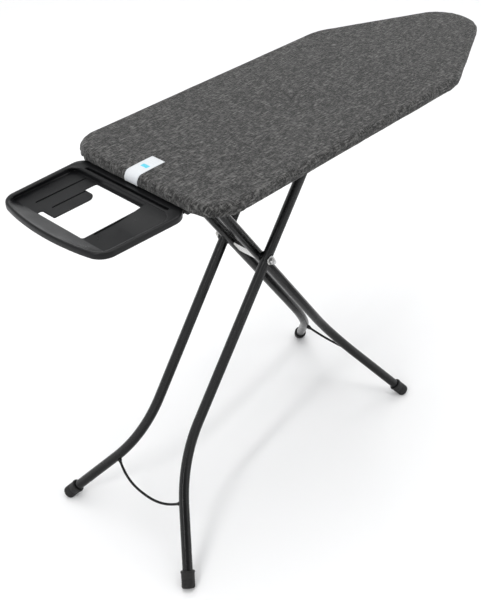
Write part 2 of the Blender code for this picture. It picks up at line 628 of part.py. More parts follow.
def opening_outline():
    """The hole in the tray: one large field that notches in beside the left land."""
    x_out, x_in = -0.6635, -0.5115
    right, left, notch = -0.049, 0.051, 0.090
    return [(x_out + 0.004, right), (x_in - 0.004, right), (x_in, right + 0.004),
            (x_in, notch - 0.006), (x_in - 0.006, notch), (x_in - 0.026, notch),
            (x_in - 0.032, notch - 0.006), (x_in - 0.032, left + 0.014), (x_in - 0.046, left),
            (x_out + 0.012, left), (x_out + 0.012, notch - 0.003), (x_out + 0.009, notch),
            (x_out + 0.003, notch), (x_out, notch - 0.003), (x_out, right + 0.004)]


def build_rest_arms(black, zinc):
    """Two flat bars from the rails to the tray, each with two screws up into the tray floor."""
    top = REST_BOTTOM_Z - GAP
    base = top - ARM_THICKNESS
    tip = REST_BOTTOM_Z + 0.0019
    for side, label in ((1, "left"), (-1, "right")):
        low, high = sorted((side * (RAIL_Y + GAP), side * (RAIL_Y + GAP + ARM_WIDTH)))
        flat = box((ARM_REAR_X, ARM_FRONT_X), (low, high), (base, top))
        bar = finish("rest_arm_" + label, flat, black, 20.0)
        y = (low + high) / 2.0
        for place, x in ARM_SCREW_XS:
            drill = prism(circle(x, y, SCREW_R + GAP, 12), "Z", base - 0.002, tip + GAP)
            hole = finish(f"rest_screw_hole_{place}_{label}", drill, None)
            cut(bar, hole)
            cut(bpy.data.objects["iron_rest"], hole)
            head = base - GAP
            profile = [(0.0, tip - head), (SCREW_R, tip - head), (SCREW_R, 0.0), (0.0042, 0.0),
                       (0.0042, -0.0014), (0.0030, -0.0026), (0.0, -0.0026)]
            screw = turned(profile, Vector((x, y, head)), Vector((0, 0, 1)), 12)
            finish(f"rest_screw_{place}_{label}", screw, zinc, 30.0)


# ------------------------------------------------------------------ small pieces

def build_label(mat):
    """A folded strip sewn over the rear edge: seated in the top, over the edge and down its side."""
    base, top = TOP_Z - LABEL_SEAT + GAP, TOP_Z - 0.0001
    end, hem, face = REAR_X + LABEL_REACH, TOP_Z - LABEL_DROP, REAR_X - GAP
    outside = [(end, top), (REAR_X + 0.0080, top), (REAR_X + 0.0044, TOP_Z - 0.0003),
               (REAR_X + 0.0006, TOP_Z - 0.0034), (face - 0.0008, TOP_Z - 0.0085), (face - 0.0008, hem)]
    inside = [(face, hem), (face, TOP_Z - 0.0084), (REAR_X + 0.0012, TOP_Z - 0.0037),
              (REAR_X + 0.0047, TOP_Z - 0.0007), (REAR_X + 0.0066, base), (end, base)]
    finish("cover_label", prism(outside + inside, "Y", *LABEL_Y), mat, 50.0)


def build_transport_hook(plastic, zinc, black, panel_base):
    """A hook that swings down from under the nose to hold the folded stand."""
    half = 0.0070
    ear_in, ear_out = half + 2.0 * GAP, half + 0.0040
    top = panel_base - GAP
    block = box((HOOK_X - 0.012, HOOK_X + 0.012), (-ear_out, ear_out), (HOOK_Z - 0.007, top))
    bracket = finish("hook_bracket", block, black, 20.0)
    space = box((HOOK_X - 0.02, HOOK_X + 0.02), (-ear_in, ear_in), (HOOK_Z - 0.03, top - 0.0020))
    cut(bracket, finish("hook_space", space, None))
    pin_hole = cross_rod(HOOK_X, HOOK_Z, HOOK_PIN_R + GAP, -0.02, 0.02, 12)
    cut(bracket, finish("hook_pin_hole", pin_hole, None))
    shank, catch, depth = 0.066, 0.0220, 0.0055
    end, low = HOOK_X - shank, HOOK_Z - catch
    outline = arc((HOOK_X, HOOK_Z), HOOK_HUB, -90.0, 90.0, 6)
    outline += [(end, HOOK_Z + HOOK_HUB - 0.002), (end - depth, HOOK_Z + HOOK_HUB - 0.006),
                (end - depth, low - 0.004), (end, low - depth), (end + 0.012, low - depth + 0.001),
                (end + 0.012, low), (end, low), (end, HOOK_Z - 0.0035),
                (HOOK_X - 0.012, HOOK_Z - HOOK_HUB + 0.002)]
    hook = finish("transport_hook", prism(outline, "Y", -half, half), plastic, 30.0)
    bore = cross_rod(HOOK_X, HOOK_Z, HOOK_PIN_R + GAP, -0.02, 0.02, 12)
    cut(hook, finish("hook_bore", bore, None))
    finish("hook_pin", cross_rod(HOOK_X, HOOK_Z, HOOK_PIN_R, -ear_out - 0.001, ear_out + 0.001, 12), zinc)


def main():
    clear_scene()
    fabric = material("melange_fabric", (0.060, 0.058, 0.056), 0.95)
    foam = material("foam", (0.55, 0.53, 0.48), 0.95)
    label = material("label_satin", (0.86, 0.87, 0.88), 0.6)
    black = material("black_powder_coat", (0.012, 0.012, 0.013), 0.35)
    sheet = material("grey_sheet_steel", (0.30, 0.31, 0.32), 0.45, 0.8)
    zinc = material("zinc_plate", (0.62, 0.63, 0.64), 0.32, 1.0)
    rubber = material("black_rubber", (0.015, 0.015, 0.015), 0.6)
    plastic = material("charcoal_plastic", (0.030, 0.031, 0.033), 0.42)
    nylon = material("natural_nylon", (0.62, 0.61, 0.57), 0.5)

    build_cover(fabric)
    panel_base = build_panel(sheet, build_pad(foam) - GAP)
    build_rim(sheet, panel_base)
    build_cross_members(sheet, panel_base - GAP)
    for side in (1, -1):
        build_rail(black, side)
    build_hinge(zinc, black)

    build_frame("outer", OUTER_DOWN, OUTER_Y, OUTER_FOOT_Y, OUTER_FLARE, OUTER_BEND,
                (0.122, 0.625, 0.671), (black, rubber), AXLE_R + 2.0 * GAP, SLIDE_R + GAP)
    build_frame("inner", INNER_DOWN, INNER_Y, INNER_FOOT_Y, INNER_FLARE, INNER_BEND,
                (0.0845, 0.588, 0.624), (black, rubber), AXLE_R + GAP, AXLE_R + 2.0 * GAP)
    build_axle(zinc, plastic)
    build_inner_plates(black, zinc)
    build_slide(zinc, nylon)

    build_height_lock(sheet, zinc, plastic)
    build_iron_rest(plastic)
    build_rest_arms(black, zinc)
    build_label(label)
    build_transport_hook(plastic, zinc, black, panel_base)


main()
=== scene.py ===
"""Looks of a folding ironing board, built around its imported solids.

Metres, +Z up, +X towards the nose. Each finished piece stands for one or more of the CAD nodes and
rides on their body. Sheet-metal nodes are copied with rolled edges; the cover, pad, label, tray,
tubes, wires, feet and axle hardware are modelled here.
"""
import json
from math import atan, atan2, ceil, cos, pi, radians, sin, tan, tau

import bmesh
import bpy
from mathutils import Matrix, Vector, noise


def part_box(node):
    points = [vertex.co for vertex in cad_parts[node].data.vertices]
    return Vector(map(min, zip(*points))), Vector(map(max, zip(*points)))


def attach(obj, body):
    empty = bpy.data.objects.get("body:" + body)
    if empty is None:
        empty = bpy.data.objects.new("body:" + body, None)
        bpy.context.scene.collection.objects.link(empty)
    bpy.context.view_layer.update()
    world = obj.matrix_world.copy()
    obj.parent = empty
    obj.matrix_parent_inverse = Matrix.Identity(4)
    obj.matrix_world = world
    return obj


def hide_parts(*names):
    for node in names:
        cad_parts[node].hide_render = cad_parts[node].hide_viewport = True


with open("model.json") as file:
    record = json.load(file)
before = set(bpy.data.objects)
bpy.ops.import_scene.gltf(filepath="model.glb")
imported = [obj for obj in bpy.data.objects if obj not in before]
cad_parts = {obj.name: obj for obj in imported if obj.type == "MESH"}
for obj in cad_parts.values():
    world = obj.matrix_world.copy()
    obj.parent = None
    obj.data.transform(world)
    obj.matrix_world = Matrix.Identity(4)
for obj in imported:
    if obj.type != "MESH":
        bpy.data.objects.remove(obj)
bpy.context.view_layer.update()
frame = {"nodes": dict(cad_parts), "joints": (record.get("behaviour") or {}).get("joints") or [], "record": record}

SCENE = bpy.context.scene

NODES = frame["nodes"]
RECORD = frame["record"]
JOINTS = {joint["name"]: joint for joint in frame["joints"]}
BODY_OF = {node: body for body, nodes in RECORD["behaviour"]["bodies"].items() for node in nodes}
SLOT_OF = {part["node"]: part["material_slot"] for part in RECORD["subparts"]}

# Board outline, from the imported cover's box
COVER_LOW, COVER_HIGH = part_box("cover")
TOP_Z, REAR_X, NOSE_X, HALF_WIDTH = COVER_HIGH.z, COVER_LOW.x, COVER_HIGH.x, COVER_HIGH.y
CORNER_R = 0.075                # the two rear corners
SHOULDER_R = 0.160              # where the straight sides turn in towards the nose
NOSE_R = 0.0969
TAPER = radians(24.7)
EDGE_ROUND = 0.0115             # how softly the top turns down over the edge
HEM_ROUND = 0.0045              # how tightly the skirt turns in under the board
HEM_REACH = 0.030
BEAD = 0.0021                   # radius of the drawcord's channel along the hem
BEAD_INSET = HEM_REACH - 0.003
FABRIC = 0.0013
CROWN = 0.0012                  # the padded top stands this much higher inside than at its edge

UP, ALONG_Y = Vector((0, 0, 1)), Vector((0, 1, 0))
SIDES = ((1, "left"), (-1, "right"))

# Stand, from the joints
AXLE = Vector(JOINTS["leg_cross"]["pos_m"])
HINGE = Vector(JOINTS["stand_fold"]["pos_m"])
ARM = (HINGE - AXLE).length
LEG_ANGLE = atan2(AXLE.x - HINGE.x, HINGE.z - AXLE.z)
OUTER_DOWN = Vector((-sin(LEG_ANGLE), 0.0, -cos(LEG_ANGLE)))
INNER_DOWN = Vector((sin(LEG_ANGLE), 0.0, -cos(LEG_ANGLE)))
FLOOR_REACH = AXLE.z / cos(LEG_ANGLE)
TUBE_R, TUBE_WALL = 0.0125, 0.0012
# Each leg frame: its tubes' y, its feet's y, its bend, its flare, and its wire bow's half width with
# how far below the axle the bow's ends and middle lie
OUTER = {"y": 0.0685, "foot_y": 0.230, "bend": 0.108, "flare": atan(0.62),
         "wire": (0.122, 0.625, 0.671)}
INNER = {"y": 0.0410, "foot_y": 0.206, "bend": 0.110, "flare": atan(0.56),
         "wire": (0.0845, 0.588, 0.624)}
AXLE_R = 0.0050
WIRE_R = 0.0033
WELD, WELD_REACH = 0.0026, 0.007        # the bow's fillet at a tube: its height and its length
TUBE_PAST_PIVOT = 0.012
NUT_FLATS = 0.0158
THREAD_PITCH, THREAD_DEPTH = 0.0010, 0.00045
CAP_R, CAP_LENGTH = 0.0165, 0.042
GAP = 0.0003

# Iron rest, from its packed box
REST_LOW, REST_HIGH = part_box("iron_rest")
REST_FLOOR_Z = 0.9525
REST_TAPER, REST_BOW = 0.006, 0.013
REST_LIP = 0.0445               # how far the sloping lip reaches in
GROOVE_X = -0.4945
SCREWS = ("rest_screw_outer_left", "rest_screw_inner_left", "rest_screw_outer_right",
          "rest_screw_inner_right")
SLOT_HALF_WIDTH, SLOT_DEPTH = 0.0026, 0.0022


# ------------------------ materials

class Recipe:
    """A material's node tree, built up one node at a time around its Principled BSDF."""

    def __init__(self, name, **sockets):
        self.material = bpy.data.materials.new(name)
        self.material.use_nodes = True
        self.tree = self.material.node_tree
        self.shader = self.tree.nodes["Principled BSDF"]
        for socket, value in sockets.items():
            self.shader.inputs[socket.replace("_", " ")].default_value = value
        self.coordinates = self.tree.nodes.new("ShaderNodeTexCoord")

    def add(self, kind, inputs, out=0, **settings):
        made = self.tree.nodes.new("ShaderNode" + kind)
        for key, value in settings.items():
            setattr(made, key, value)
        for key, value in inputs.items():
            if isinstance(value, bpy.types.NodeSocket):
                self.tree.links.new(value, made.inputs[key])
            else:
                made.inputs[key].default_value = value
        return made.outputs[out]

    def set(self, socket, value):
        self.tree.links.new(value, self.shader.inputs[socket])

    def stretched(self, scale, source="Object"):
        return self.add("Mapping", {"Vector": self.coordinates.outputs[source], "Scale": scale})

    def noise(self, scale, detail=2.0, source="Object"):
        stretch = scale if isinstance(scale, tuple) else (scale, scale, scale)
        return self.add("TexNoise", {"Vector": self.stretched(stretch, source), "Scale": 1.0,
                                               "Detail": detail})

    def range(self, value, low, high, to_low=0.0, to_high=1.0):
        return self.add("MapRange", {"Value": value, "From Min": low, "From Max": high,
                                               "To Min": to_low, "To Max": to_high})

    def math(self, operation, a, b=0.5):
        return self.add("Math", {0: a, 1: b}, operation=operation)

    def mix(self, factor, a, b):
        a = a if isinstance(a, bpy.types.NodeSocket) else (*a, 1.0)
        b = b if isinstance(b, bpy.types.NodeSocket) else (*b, 1.0)
        return self.add("Mix", {0: factor, 6: a, 7: b}, out=2, data_type="RGBA")

    def bump(self, height, distance, strength=1.0):
        return self.add("Bump", {"Height": height, "Distance": distance, "Strength": strength})


def melange_fabric():
    """Woven melange: a dark ground crossed by paler and darker slubs along the warp and the weft."""
    r = Recipe("melange_fabric", Roughness=0.92, Sheen_Weight=0.10, Sheen_Roughness=0.5,
               Specular_IOR_Level=0.2)

    flat = r.add("SeparateXYZ", {"Vector": r.coordinates.outputs["UV"]})
    u, v = flat, flat.node.outputs["Y"]

    def slubs(along, across, pitch, per_metre, low, high):
        """Every thread keeps its own run of thick and thin places: noise along it, a jump between threads."""
        thread = r.math("MULTIPLY", r.math("FLOOR", r.math("DIVIDE", across, pitch)), 7.31)
        run = r.add("CombineXYZ", {0: r.math("MULTIPLY", along, per_metre), 1: thread})
        return r.range(r.add("TexNoise", {"Vector": run, "Scale": 1.0, "Detail": 2.0}), low, high)

    warp = r.math("MAXIMUM", slubs(u, v, 0.0030, 60.0, 0.50, 0.76), slubs(u, v, 0.0011, 120.0, 0.54, 0.80))
    weft = r.math("MAXIMUM", slubs(v, u, 0.0030, 65.0, 0.52, 0.78), slubs(v, u, 0.0011, 130.0, 0.56, 0.82))
    dark = r.math("MAXIMUM", slubs(u, v, 0.0036, 45.0, 0.46, 0.28), slubs(v, u, 0.0036, 50.0, 0.46, 0.28))
    blotch = r.range(r.noise((34.0, 41.0, 1.0), 4.0, "UV"), 0.3, 0.7)
    colour = r.mix(blotch, (0.0090, 0.0089, 0.0088), (0.0245, 0.0241, 0.0236))
    colour = r.mix(r.math("MULTIPLY", dark, 0.85), colour, (0.0045, 0.0045, 0.0045))
    colour = r.mix(r.math("MULTIPLY", warp, 0.80), colour, (0.186, 0.182, 0.176))
    colour = r.mix(r.math("MULTIPLY", weft, 0.70), colour, (0.160, 0.157, 0.152))
    r.set("Base Color", colour)
    thread = tau / 0.0011
    warp_wave = r.math("SINE", r.math("MULTIPLY", u, thread))
    weft_wave = r.math("SINE", r.math("MULTIPLY", v, thread))
    weave = r.math("MULTIPLY", r.math("MULTIPLY", warp_wave, weft_wave), 0.35)
    height = r.math("ADD", weave, r.math("ADD", warp, weft))
    r.set("Normal", r.bump(height, 0.00050, 0.9))
    r.set("Roughness", r.range(blotch, 0.0, 1.0, 0.88, 0.97))
    return r.material


def foam():
    r = Recipe("foam", Roughness=0.95)
    cells = r.add("TexVoronoi", {"Vector": r.coordinates.outputs["Object"], "Scale": 900.0})
    tint = r.noise(14.0, 3.0)
    r.set("Base Color", r.mix(tint, (0.50, 0.48, 0.43), (0.60, 0.58, 0.53)))
    r.set("Normal", r.bump(cells, 0.0006, 0.8))
    return r.material


def label_satin():
    """White satin tape: fine warp lines, a plain coloured bar and two faint rules across it."""
    r = Recipe("label_satin", Roughness=0.42, Sheen_Weight=0.3, Specular_IOR_Level=0.4)
    u = r.add("SeparateXYZ", {"Vector": r.coordinates.outputs["UV"]})
    v = u.node.outputs["Y"]

    def band(value, centre, half):
        return r.math("LESS_THAN", r.math("ABSOLUTE", r.math("SUBTRACT", value, centre)), half)

    inside = band(u, 0.019, 0.0095)
    bar = r.math("MULTIPLY", inside, band(v, 0.038, 0.0055))
    rules = r.math("MAXIMUM", band(v, 0.022, 0.0006), band(v, 0.016, 0.0006))
    rules = r.math("MULTIPLY", r.math("MULTIPLY", rules, inside), 0.35)
    cloth = r.mix(r.noise((900.0, 60.0, 1.0), 2.0, "UV"), (0.52, 0.54, 0.56), (0.59, 0.61, 0.63))
    printed = r.mix(rules, cloth, (0.35, 0.37, 0.40))
    r.set("Base Color", r.mix(bar, printed, (0.02, 0.46, 0.60)))
    lines = r.math("SINE", r.math("MULTIPLY", u, tau / 0.0005))
    r.set("Normal", r.bump(lines, 0.00006, 0.6))
    return r.material


def black_powder_coat():
    """Semi-gloss black powder coat with fine orange peel and a little variation in its gloss."""
    r = Recipe("black_powder_coat", Specular_IOR_Level=0.22)
    tone = r.noise(38.0, 3.0)
    r.set("Base Color", r.mix(tone, (0.0040, 0.0040, 0.0042), (0.0065, 0.0065, 0.0068)))
    r.set("Roughness", r.range(r.noise(60.0, 4.0), 0.3, 0.7, 0.20, 0.30))
    r.set("Normal", r.bump(r.noise(950.0, 2.0), 0.00008, 0.30))
    return r.material


def grey_sheet_steel():
    r = Recipe("grey_sheet_steel", Metallic=0.75, Specular_IOR_Level=0.5)
    spangle = r.add("TexVoronoi", {"Vector": r.coordinates.outputs["Object"], "Scale": 95.0}, out=1)
    tone = r.add("RGBToBW", {"Color": spangle})
    r.set("Base Color", r.mix(tone, (0.26, 0.27, 0.28), (0.36, 0.37, 0.38)))
    r.set("Roughness", r.range(tone, 0.0, 1.0, 0.36, 0.52))
    r.set("Normal", r.bump(r.noise(420.0, 3.0), 0.00008, 0.4))
    return r.material


def zinc_plate():
    """Bright zinc: faint drawn lines, and slightly warm and cool patches from the passivation."""
    r = Recipe("zinc_plate", Metallic=1.0)
    patch = r.noise(70.0, 3.0)
    r.set("Base Color", r.mix(patch, (0.50, 0.51, 0.53), (0.58, 0.56, 0.52)))
    lines = r.noise((240.0, 2600.0, 240.0), 2.0)
    r.set("Roughness", r.range(lines, 0.3, 0.7, 0.20, 0.36))
    r.set("Normal", r.bump(lines, 0.00003, 0.4))
    return r.material


def black_rubber():
    r = Recipe("black_rubber", Specular_IOR_Level=0.25)
    r.set("Base Color", r.mix(r.noise(45.0, 4.0), (0.006, 0.006, 0.006), (0.011, 0.011, 0.011)))
    r.set("Roughness", r.range(r.noise(130.0, 3.0), 0.3, 0.7, 0.44, 0.60))
    r.set("Normal", r.bump(r.noise(1300.0, 3.0), 0.00010, 0.5))
    return r.material


def charcoal_plastic():
    """Satin moulding: fine spark-eroded grain, with broad, faint changes in gloss."""
    r = Recipe("charcoal_plastic", Specular_IOR_Level=0.20)
    r.set("Base Color", r.mix(r.noise(20.0, 3.0), (0.0036, 0.0038, 0.0042), (0.0058, 0.0060, 0.0066)))
    r.set("Roughness", r.range(r.noise(34.0, 4.0), 0.3, 0.7, 0.27, 0.36))
    grain = r.noise(1500.0, 3.0)
    r.set("Normal", r.bump(grain, 0.00012, 0.35))
    return r.material


def natural_nylon():
    r = Recipe("natural_nylon", Roughness=0.4, Subsurface_Weight=0.12, Subsurface_Scale=0.004)
    r.set("Base Color", r.mix(r.noise(80.0, 3.0), (0.58, 0.57, 0.52), (0.68, 0.67, 0.63)))
    r.set("Normal", r.bump(r.noise(800.0, 2.0), 0.00006, 0.4))
    return r.material


def floor_paint():
    r = Recipe("floor_paint", Roughness=0.6, Specular_IOR_Level=0.2)
    r.set("Base Color", r.mix(r.noise(0.7, 2.0), (0.86, 0.86, 0.865), (0.90, 0.90, 0.90)))
    return r.material


MATERIALS = {make.__name__: make() for make in (
    melange_fabric, foam, label_satin, black_powder_coat, grey_sheet_steel, zinc_plate, black_rubber,
    charcoal_plastic, natural_nylon)}


# ------------------------ mesh helpers

def clamp(value):
    return min(1.0, max(0.0, value))


def new_object(name, bm, material=None, sharp=35.0):
    mesh = bpy.data.meshes.new(name)
    bm.to_mesh(mesh)
    bm.free()
    mesh.shade_smooth()
    mesh.set_sharp_from_angle(angle=radians(sharp))
    if material is not None:
        mesh.materials.append(material)
    obj = bpy.data.objects.new(name, mesh)
    SCENE.collection.objects.link(obj)
    return obj


def solid(name, bm, material=None, sharp=35.0):
    """A closed mesh whose faces point outwards."""
    bmesh.ops.recalc_face_normals(bm, faces=bm.faces)
    return new_object(name, bm, material, sharp)


def stand_for(piece, *nodes):
    """Put a finished piece in its nodes' place: on their body, with the nodes hidden and, if it has no material,
    the material their slot names.
    """
    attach(piece, BODY_OF[nodes[0]])
    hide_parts(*nodes)
    if not piece.data.materials:
        piece.data.materials.append(MATERIALS[SLOT_OF[nodes[0]]])
    return piece


def bake(obj):
    """Apply an object's modifiers to its mesh."""
    bpy.context.view_layer.update()
    evaluated = obj.evaluated_get(bpy.context.evaluated_depsgraph_get())
    mesh = bpy.data.meshes.new_from_object(evaluated)
    obj.modifiers.clear()
    obj.data = mesh


def unwrap(bm, uv_of):
    """Give each vertex its place on the flat cloth."""
    layer = bm.loops.layers.uv.new("cloth")
    for face in bm.faces:
        for loop in face.loops:
            loop[layer].uv = uv_of[loop.vert]


def face_up(bm):
    """Turn an open sheet's faces one way, with the first of them upwards."""
    bmesh.ops.recalc_face_normals(bm, faces=bm.faces)
    if next(iter(bm.faces)).normal.z < 0.0:
        bmesh.ops.reverse_faces(bm, faces=bm.faces)


def thicken(obj, thickness):
    """Give an open sheet its thickness, below the surface it was drawn on."""
    sheet = obj.modifiers.new("sheet", "SOLIDIFY")
    sheet.thickness = thickness
    sheet.offset = -1.0
    bake(obj)


def carve(obj, cutters):
    """Cut each cutter out of obj, apply the cuts and delete the cutters."""
    for cutter in cutters:
        boolean = obj.modifiers.new("cut", "BOOLEAN")
        boolean.operation = "DIFFERENCE"
        boolean.solver = "EXACT"
        boolean.object = cutter
    bake(obj)
    for cutter in cutters:
        bpy.data.objects.remove(cutter, do_unlink=True)


def loft(rings, close=False):
    """Skin a row of rings, capped at both ends or closed on itself."""
    bm = bmesh.new()
    rows = [[bm.verts.new(point) for point in ring] for ring in rings]
    count = len(rows[0])
    pairs = list(zip(rows, rows[1:])) + ([(rows[-1], rows[0])] if close else [])
    for low, high in pairs:
        for i in range(count):
            j = (i + 1) % count
            bm.faces.new((low[i], low[j], high[j], high[i]))
    if not close:
        bm.faces.new(rows[0][::-1])
        bm.faces.new(rows[-1])
    return bm


def slab(name, centre, half, heights, material=None):
    corners = [(centre.x + a * half, centre.y + b * half) for a, b in ((-1, -1), (1, -1), (1, 1), (-1, 1))]
    return solid(name, loft([[(x, y, z) for x, y in corners] for z in heights]), material)


def arc(centre, radius, start, end, steps, include_end=True):
    count = steps + (1 if include_end else 0)
    angles = [radians(start + (end - start) * i / steps) for i in range(count)]
    return [(centre[0] + radius * cos(a), centre[1] + radius * sin(a)) for a in angles]


def sweep(path, normal, radii, bore=0.0, sides=40, closed=False):
    """A round section along a path that lies across `normal`; radii holds one radius for each point."""
    def ring(centre, tangent, radius):
        side = tangent.cross(normal).normalized()
        up = side.cross(tangent).normalized()
        return [centre + radius * (cos(a) * side + sin(a) * up)
                for a in (tau * i / sides for i in range(sides))]
    last = len(path) - 1
    outer, inner = [], []
    for i, point in enumerate(path):
        before = path[i - 1] if (i or closed) else path[0]
        after = path[(i + 1) % len(path)] if (i < last or closed) else path[last]
        tangent = (after - before).normalized()
        outer.append(ring(point, tangent, radii[i]))
        inner.append(ring(point, tangent, bore))
    return loft(outer + inner[::-1], close=True) if bore else loft(outer, close=closed)


def turned(profile, origin, axis, sides=48, across_flats=None):
    """Turn a closed (radius, distance) profile. With across_flats, a hexagon of that size trims it."""
    axis = axis.normalized()
    across = axis.orthogonal().normalized()
    other = axis.cross(across)
    bm = bmesh.new()
    rows = []
    for radius, distance in profile:
        centre = origin + axis * distance
        if radius == 0.0:
            rows.append([bm.verts.new(centre)])
            continue
        row = []
        for i in range(sides):
            angle = tau * i / sides
            reach = radius
            if across_flats:
                to_flat = (angle % (pi / 3.0)) - pi / 6.0
                reach = min(radius, across_flats / 2.0 / cos(to_flat))
            row.append(bm.verts.new(centre + reach * (cos(angle) * across + sin(angle) * other)))
        rows.append(row)
    capped = profile[0][0] == 0.0 and profile[-1][0] == 0.0
    for low, high in list(zip(rows, rows[1:])) + ([] if capped else [(rows[-1], rows[0])]):
        for i in range(sides):
            j = (i + 1) % sides
            if len(low) == 1:
                bm.faces.new((low[0], high[j], high[i]))
            elif len(high) == 1:
                bm.faces.new((low[i], low[j], high[0]))
            else:
                bm.faces.new((low[i], low[j], high[j], high[i]))
    return bm


def rolled_edges(node, width=0.0005, segments=2, subdivide=0, sharp=30.0):
    """A copy of a CAD node with coplanar facets joined and its edges rolled over."""
    bm = bmesh.new()
    bm.from_mesh(NODES[node].data)
    bmesh.ops.remove_doubles(bm, verts=bm.verts, dist=0.00001)
    bmesh.ops.dissolve_limit(bm, angle_limit=radians(0.5), verts=bm.verts, edges=bm.edges)
    piece = solid("finished_" + node, bm, sharp=sharp)
    if width:
        bevel = piece.modifiers.new("rolled", "BEVEL")
        bevel.width = width
        bevel.segments = segments
        bevel.limit_method = "ANGLE"
        bevel.angle_limit = radians(sharp)
        bevel.harden_normals = True
    if subdivide:
        smooth = piece.modifiers.new("smooth", "SUBSURF")
        smooth.levels = smooth.render_levels = subdivide
    bake(piece)
    return stand_for(piece, node)


# ------------------------ cover and pad

def outline(step):
    """The board's outline from the nose tip, counter-clockwise: (point, outward normal, bend) along it."""
    nose_x = NOSE_X - NOSE_R
    lean = pi / 2.0 - TAPER
    shoulder_y = HALF_WIDTH - SHOULDER_R
    shoulder_x = nose_x + (NOSE_R - SHOULDER_R - sin(lean) * shoulder_y) / cos(lean)
    half = []

    def along_arc(centre, radius, start, end, bend):
        count = max(2, ceil(radius * (end - start) / step))
        for i in range(count):
            angle = start + (end - start) * i / count
            out = Vector((cos(angle), sin(angle)))
            half.append((Vector(centre) + radius * out, out, bend))
        return Vector(centre) + radius * Vector((cos(end), sin(end)))

    def along_line(start, end):
        out = Vector((end.y - start.y, start.x - end.x)).normalized()
        count = max(2, ceil((end - start).length / step))
        for i in range(count):
            half.append((start.lerp(end, i / count), out, 0.0))

    tip_end = along_arc((nose_x, 0.0), NOSE_R, 0.0, lean, 0.7)
    shoulder = Vector((shoulder_x, shoulder_y))
    along_line(tip_end, shoulder + SHOULDER_R * Vector((cos(lean), sin(lean))))
    side_start = along_arc(shoulder, SHOULDER_R, lean, pi / 2.0, 0.25)
    corner = Vector((REAR_X + CORNER_R, HALF_WIDTH - CORNER_R))
    along_line(side_start, corner + Vector((0.0, CORNER_R)))
    rear_start = along_arc(corner, CORNER_R, pi / 2.0, pi, 1.0)
    along_line(rear_start, Vector((REAR_X, 0.0)))
    half.append((Vector((REAR_X, 0.0)), Vector((-1.0, 0.0)), 0.0))
    mirrored = [(Vector((p.x, -p.y)), Vector((n.x, -n.y)), bend) for p, n, bend in half[-2:0:-1]]
    points = half + mirrored
    reach = 6
    count = len(points)
    smoothed = [sum(points[(i + k) % count][2] for k in range(-reach, reach + 1)) / (2 * reach + 1)
                for i in range(count)]
    return [(p, n, bend) for (p, n, _), bend in zip(points, smoothed)]


def cover_profile():
    """The cover's section from the top to the hem: (inset, drop, slope in degrees, distance past the top)."""
    section = [(0.0215, 0.0, 90.0, -0.0100), (0.0165, 0.0, 90.0, -0.0050)]
    steps = 8
    for i in range(steps + 1):
        turn = 90.0 * i / steps
        a = radians(turn)
        section.append((EDGE_ROUND * (1.0 - sin(a)), EDGE_ROUND * (1.0 - cos(a)), 90.0 - turn,
                        EDGE_ROUND * a))
    depth = TOP_Z - COVER_LOW.z
    wall_end = depth - HEM_ROUND
    past = EDGE_ROUND * pi / 2.0
    for share in (0.5, 1.0):
        drop = EDGE_ROUND + (wall_end - EDGE_ROUND) * share
        section.append((0.0, drop, 0.0, past + drop - EDGE_ROUND))
    past += wall_end - EDGE_ROUND
    steps = 5
    for i in range(1, steps + 1):
        a = radians(90.0 * i / steps)
        section.append((HEM_ROUND * (1.0 - cos(a)), wall_end + HEM_ROUND * sin(a),
                        -90.0 * i / steps, past + HEM_ROUND * a))
    past += HEM_ROUND * pi / 2.0
    for inset in (0.010, 0.015, 0.020, 0.025, BEAD_INSET):
        section.append((inset, depth, -90.0, past + inset - HEM_ROUND))
    past += BEAD_INSET - HEM_ROUND
    for i in range(1, 7):
        a = radians(200.0 * i / 6)
        section.append((BEAD_INSET + BEAD * sin(a), depth + 0.0004 - BEAD * (1.0 - cos(a)),
                        -90.0 + 200.0 * i / 6, past + BEAD * a))
    return section


def label_clear(point):
    """0 where the sewn label lies, 1 away from it."""
    if point.x > REAR_X + 0.12:
        return 1.0
    return clamp((abs(point.y - LABEL_Y) - 0.022) / 0.02)


def top_lift(point, inset):
    """How far the padded top stands above the flat: its crown and faint, slow undulations."""
    rise = clamp(inset / 0.07)
    crown = CROWN * (1.0 - (1.0 - rise) ** 2)
    wave = noise.noise(Vector((point.x * 6.5, point.y * 8.0, 0.3))) + 0.5 * noise.noise(
        Vector((point.x * 19.0, point.y * 21.0, 4.1)))
    return crown + 0.00055 * wave * rise


def gather(along, past, bend):
    """How far the skirt stands out: tight gathers at the bends, slow waves along the straight sides."""
    fade = clamp((past + 0.010) / 0.045)
    fold = abs(noise.noise(Vector((along * 62.0 + 0.8 * noise.noise(Vector((along * 20.0, past * 30.0, 0.0))),
                                   past * 9.0, 7.7))))
    fine = abs(noise.noise(Vector((along * 128.0, past * 14.0, 2.2))))
    slow = noise.noise(Vector((along * 15.0, past * 10.0, 5.1)))
    gathers = (0.0068 * (fold - 0.22) + 0.0028 * (fine - 0.2)) * (bend + 0.10)
    return fade * (gathers * (0.55 + 0.8 * fade) + 0.0010 * slow)


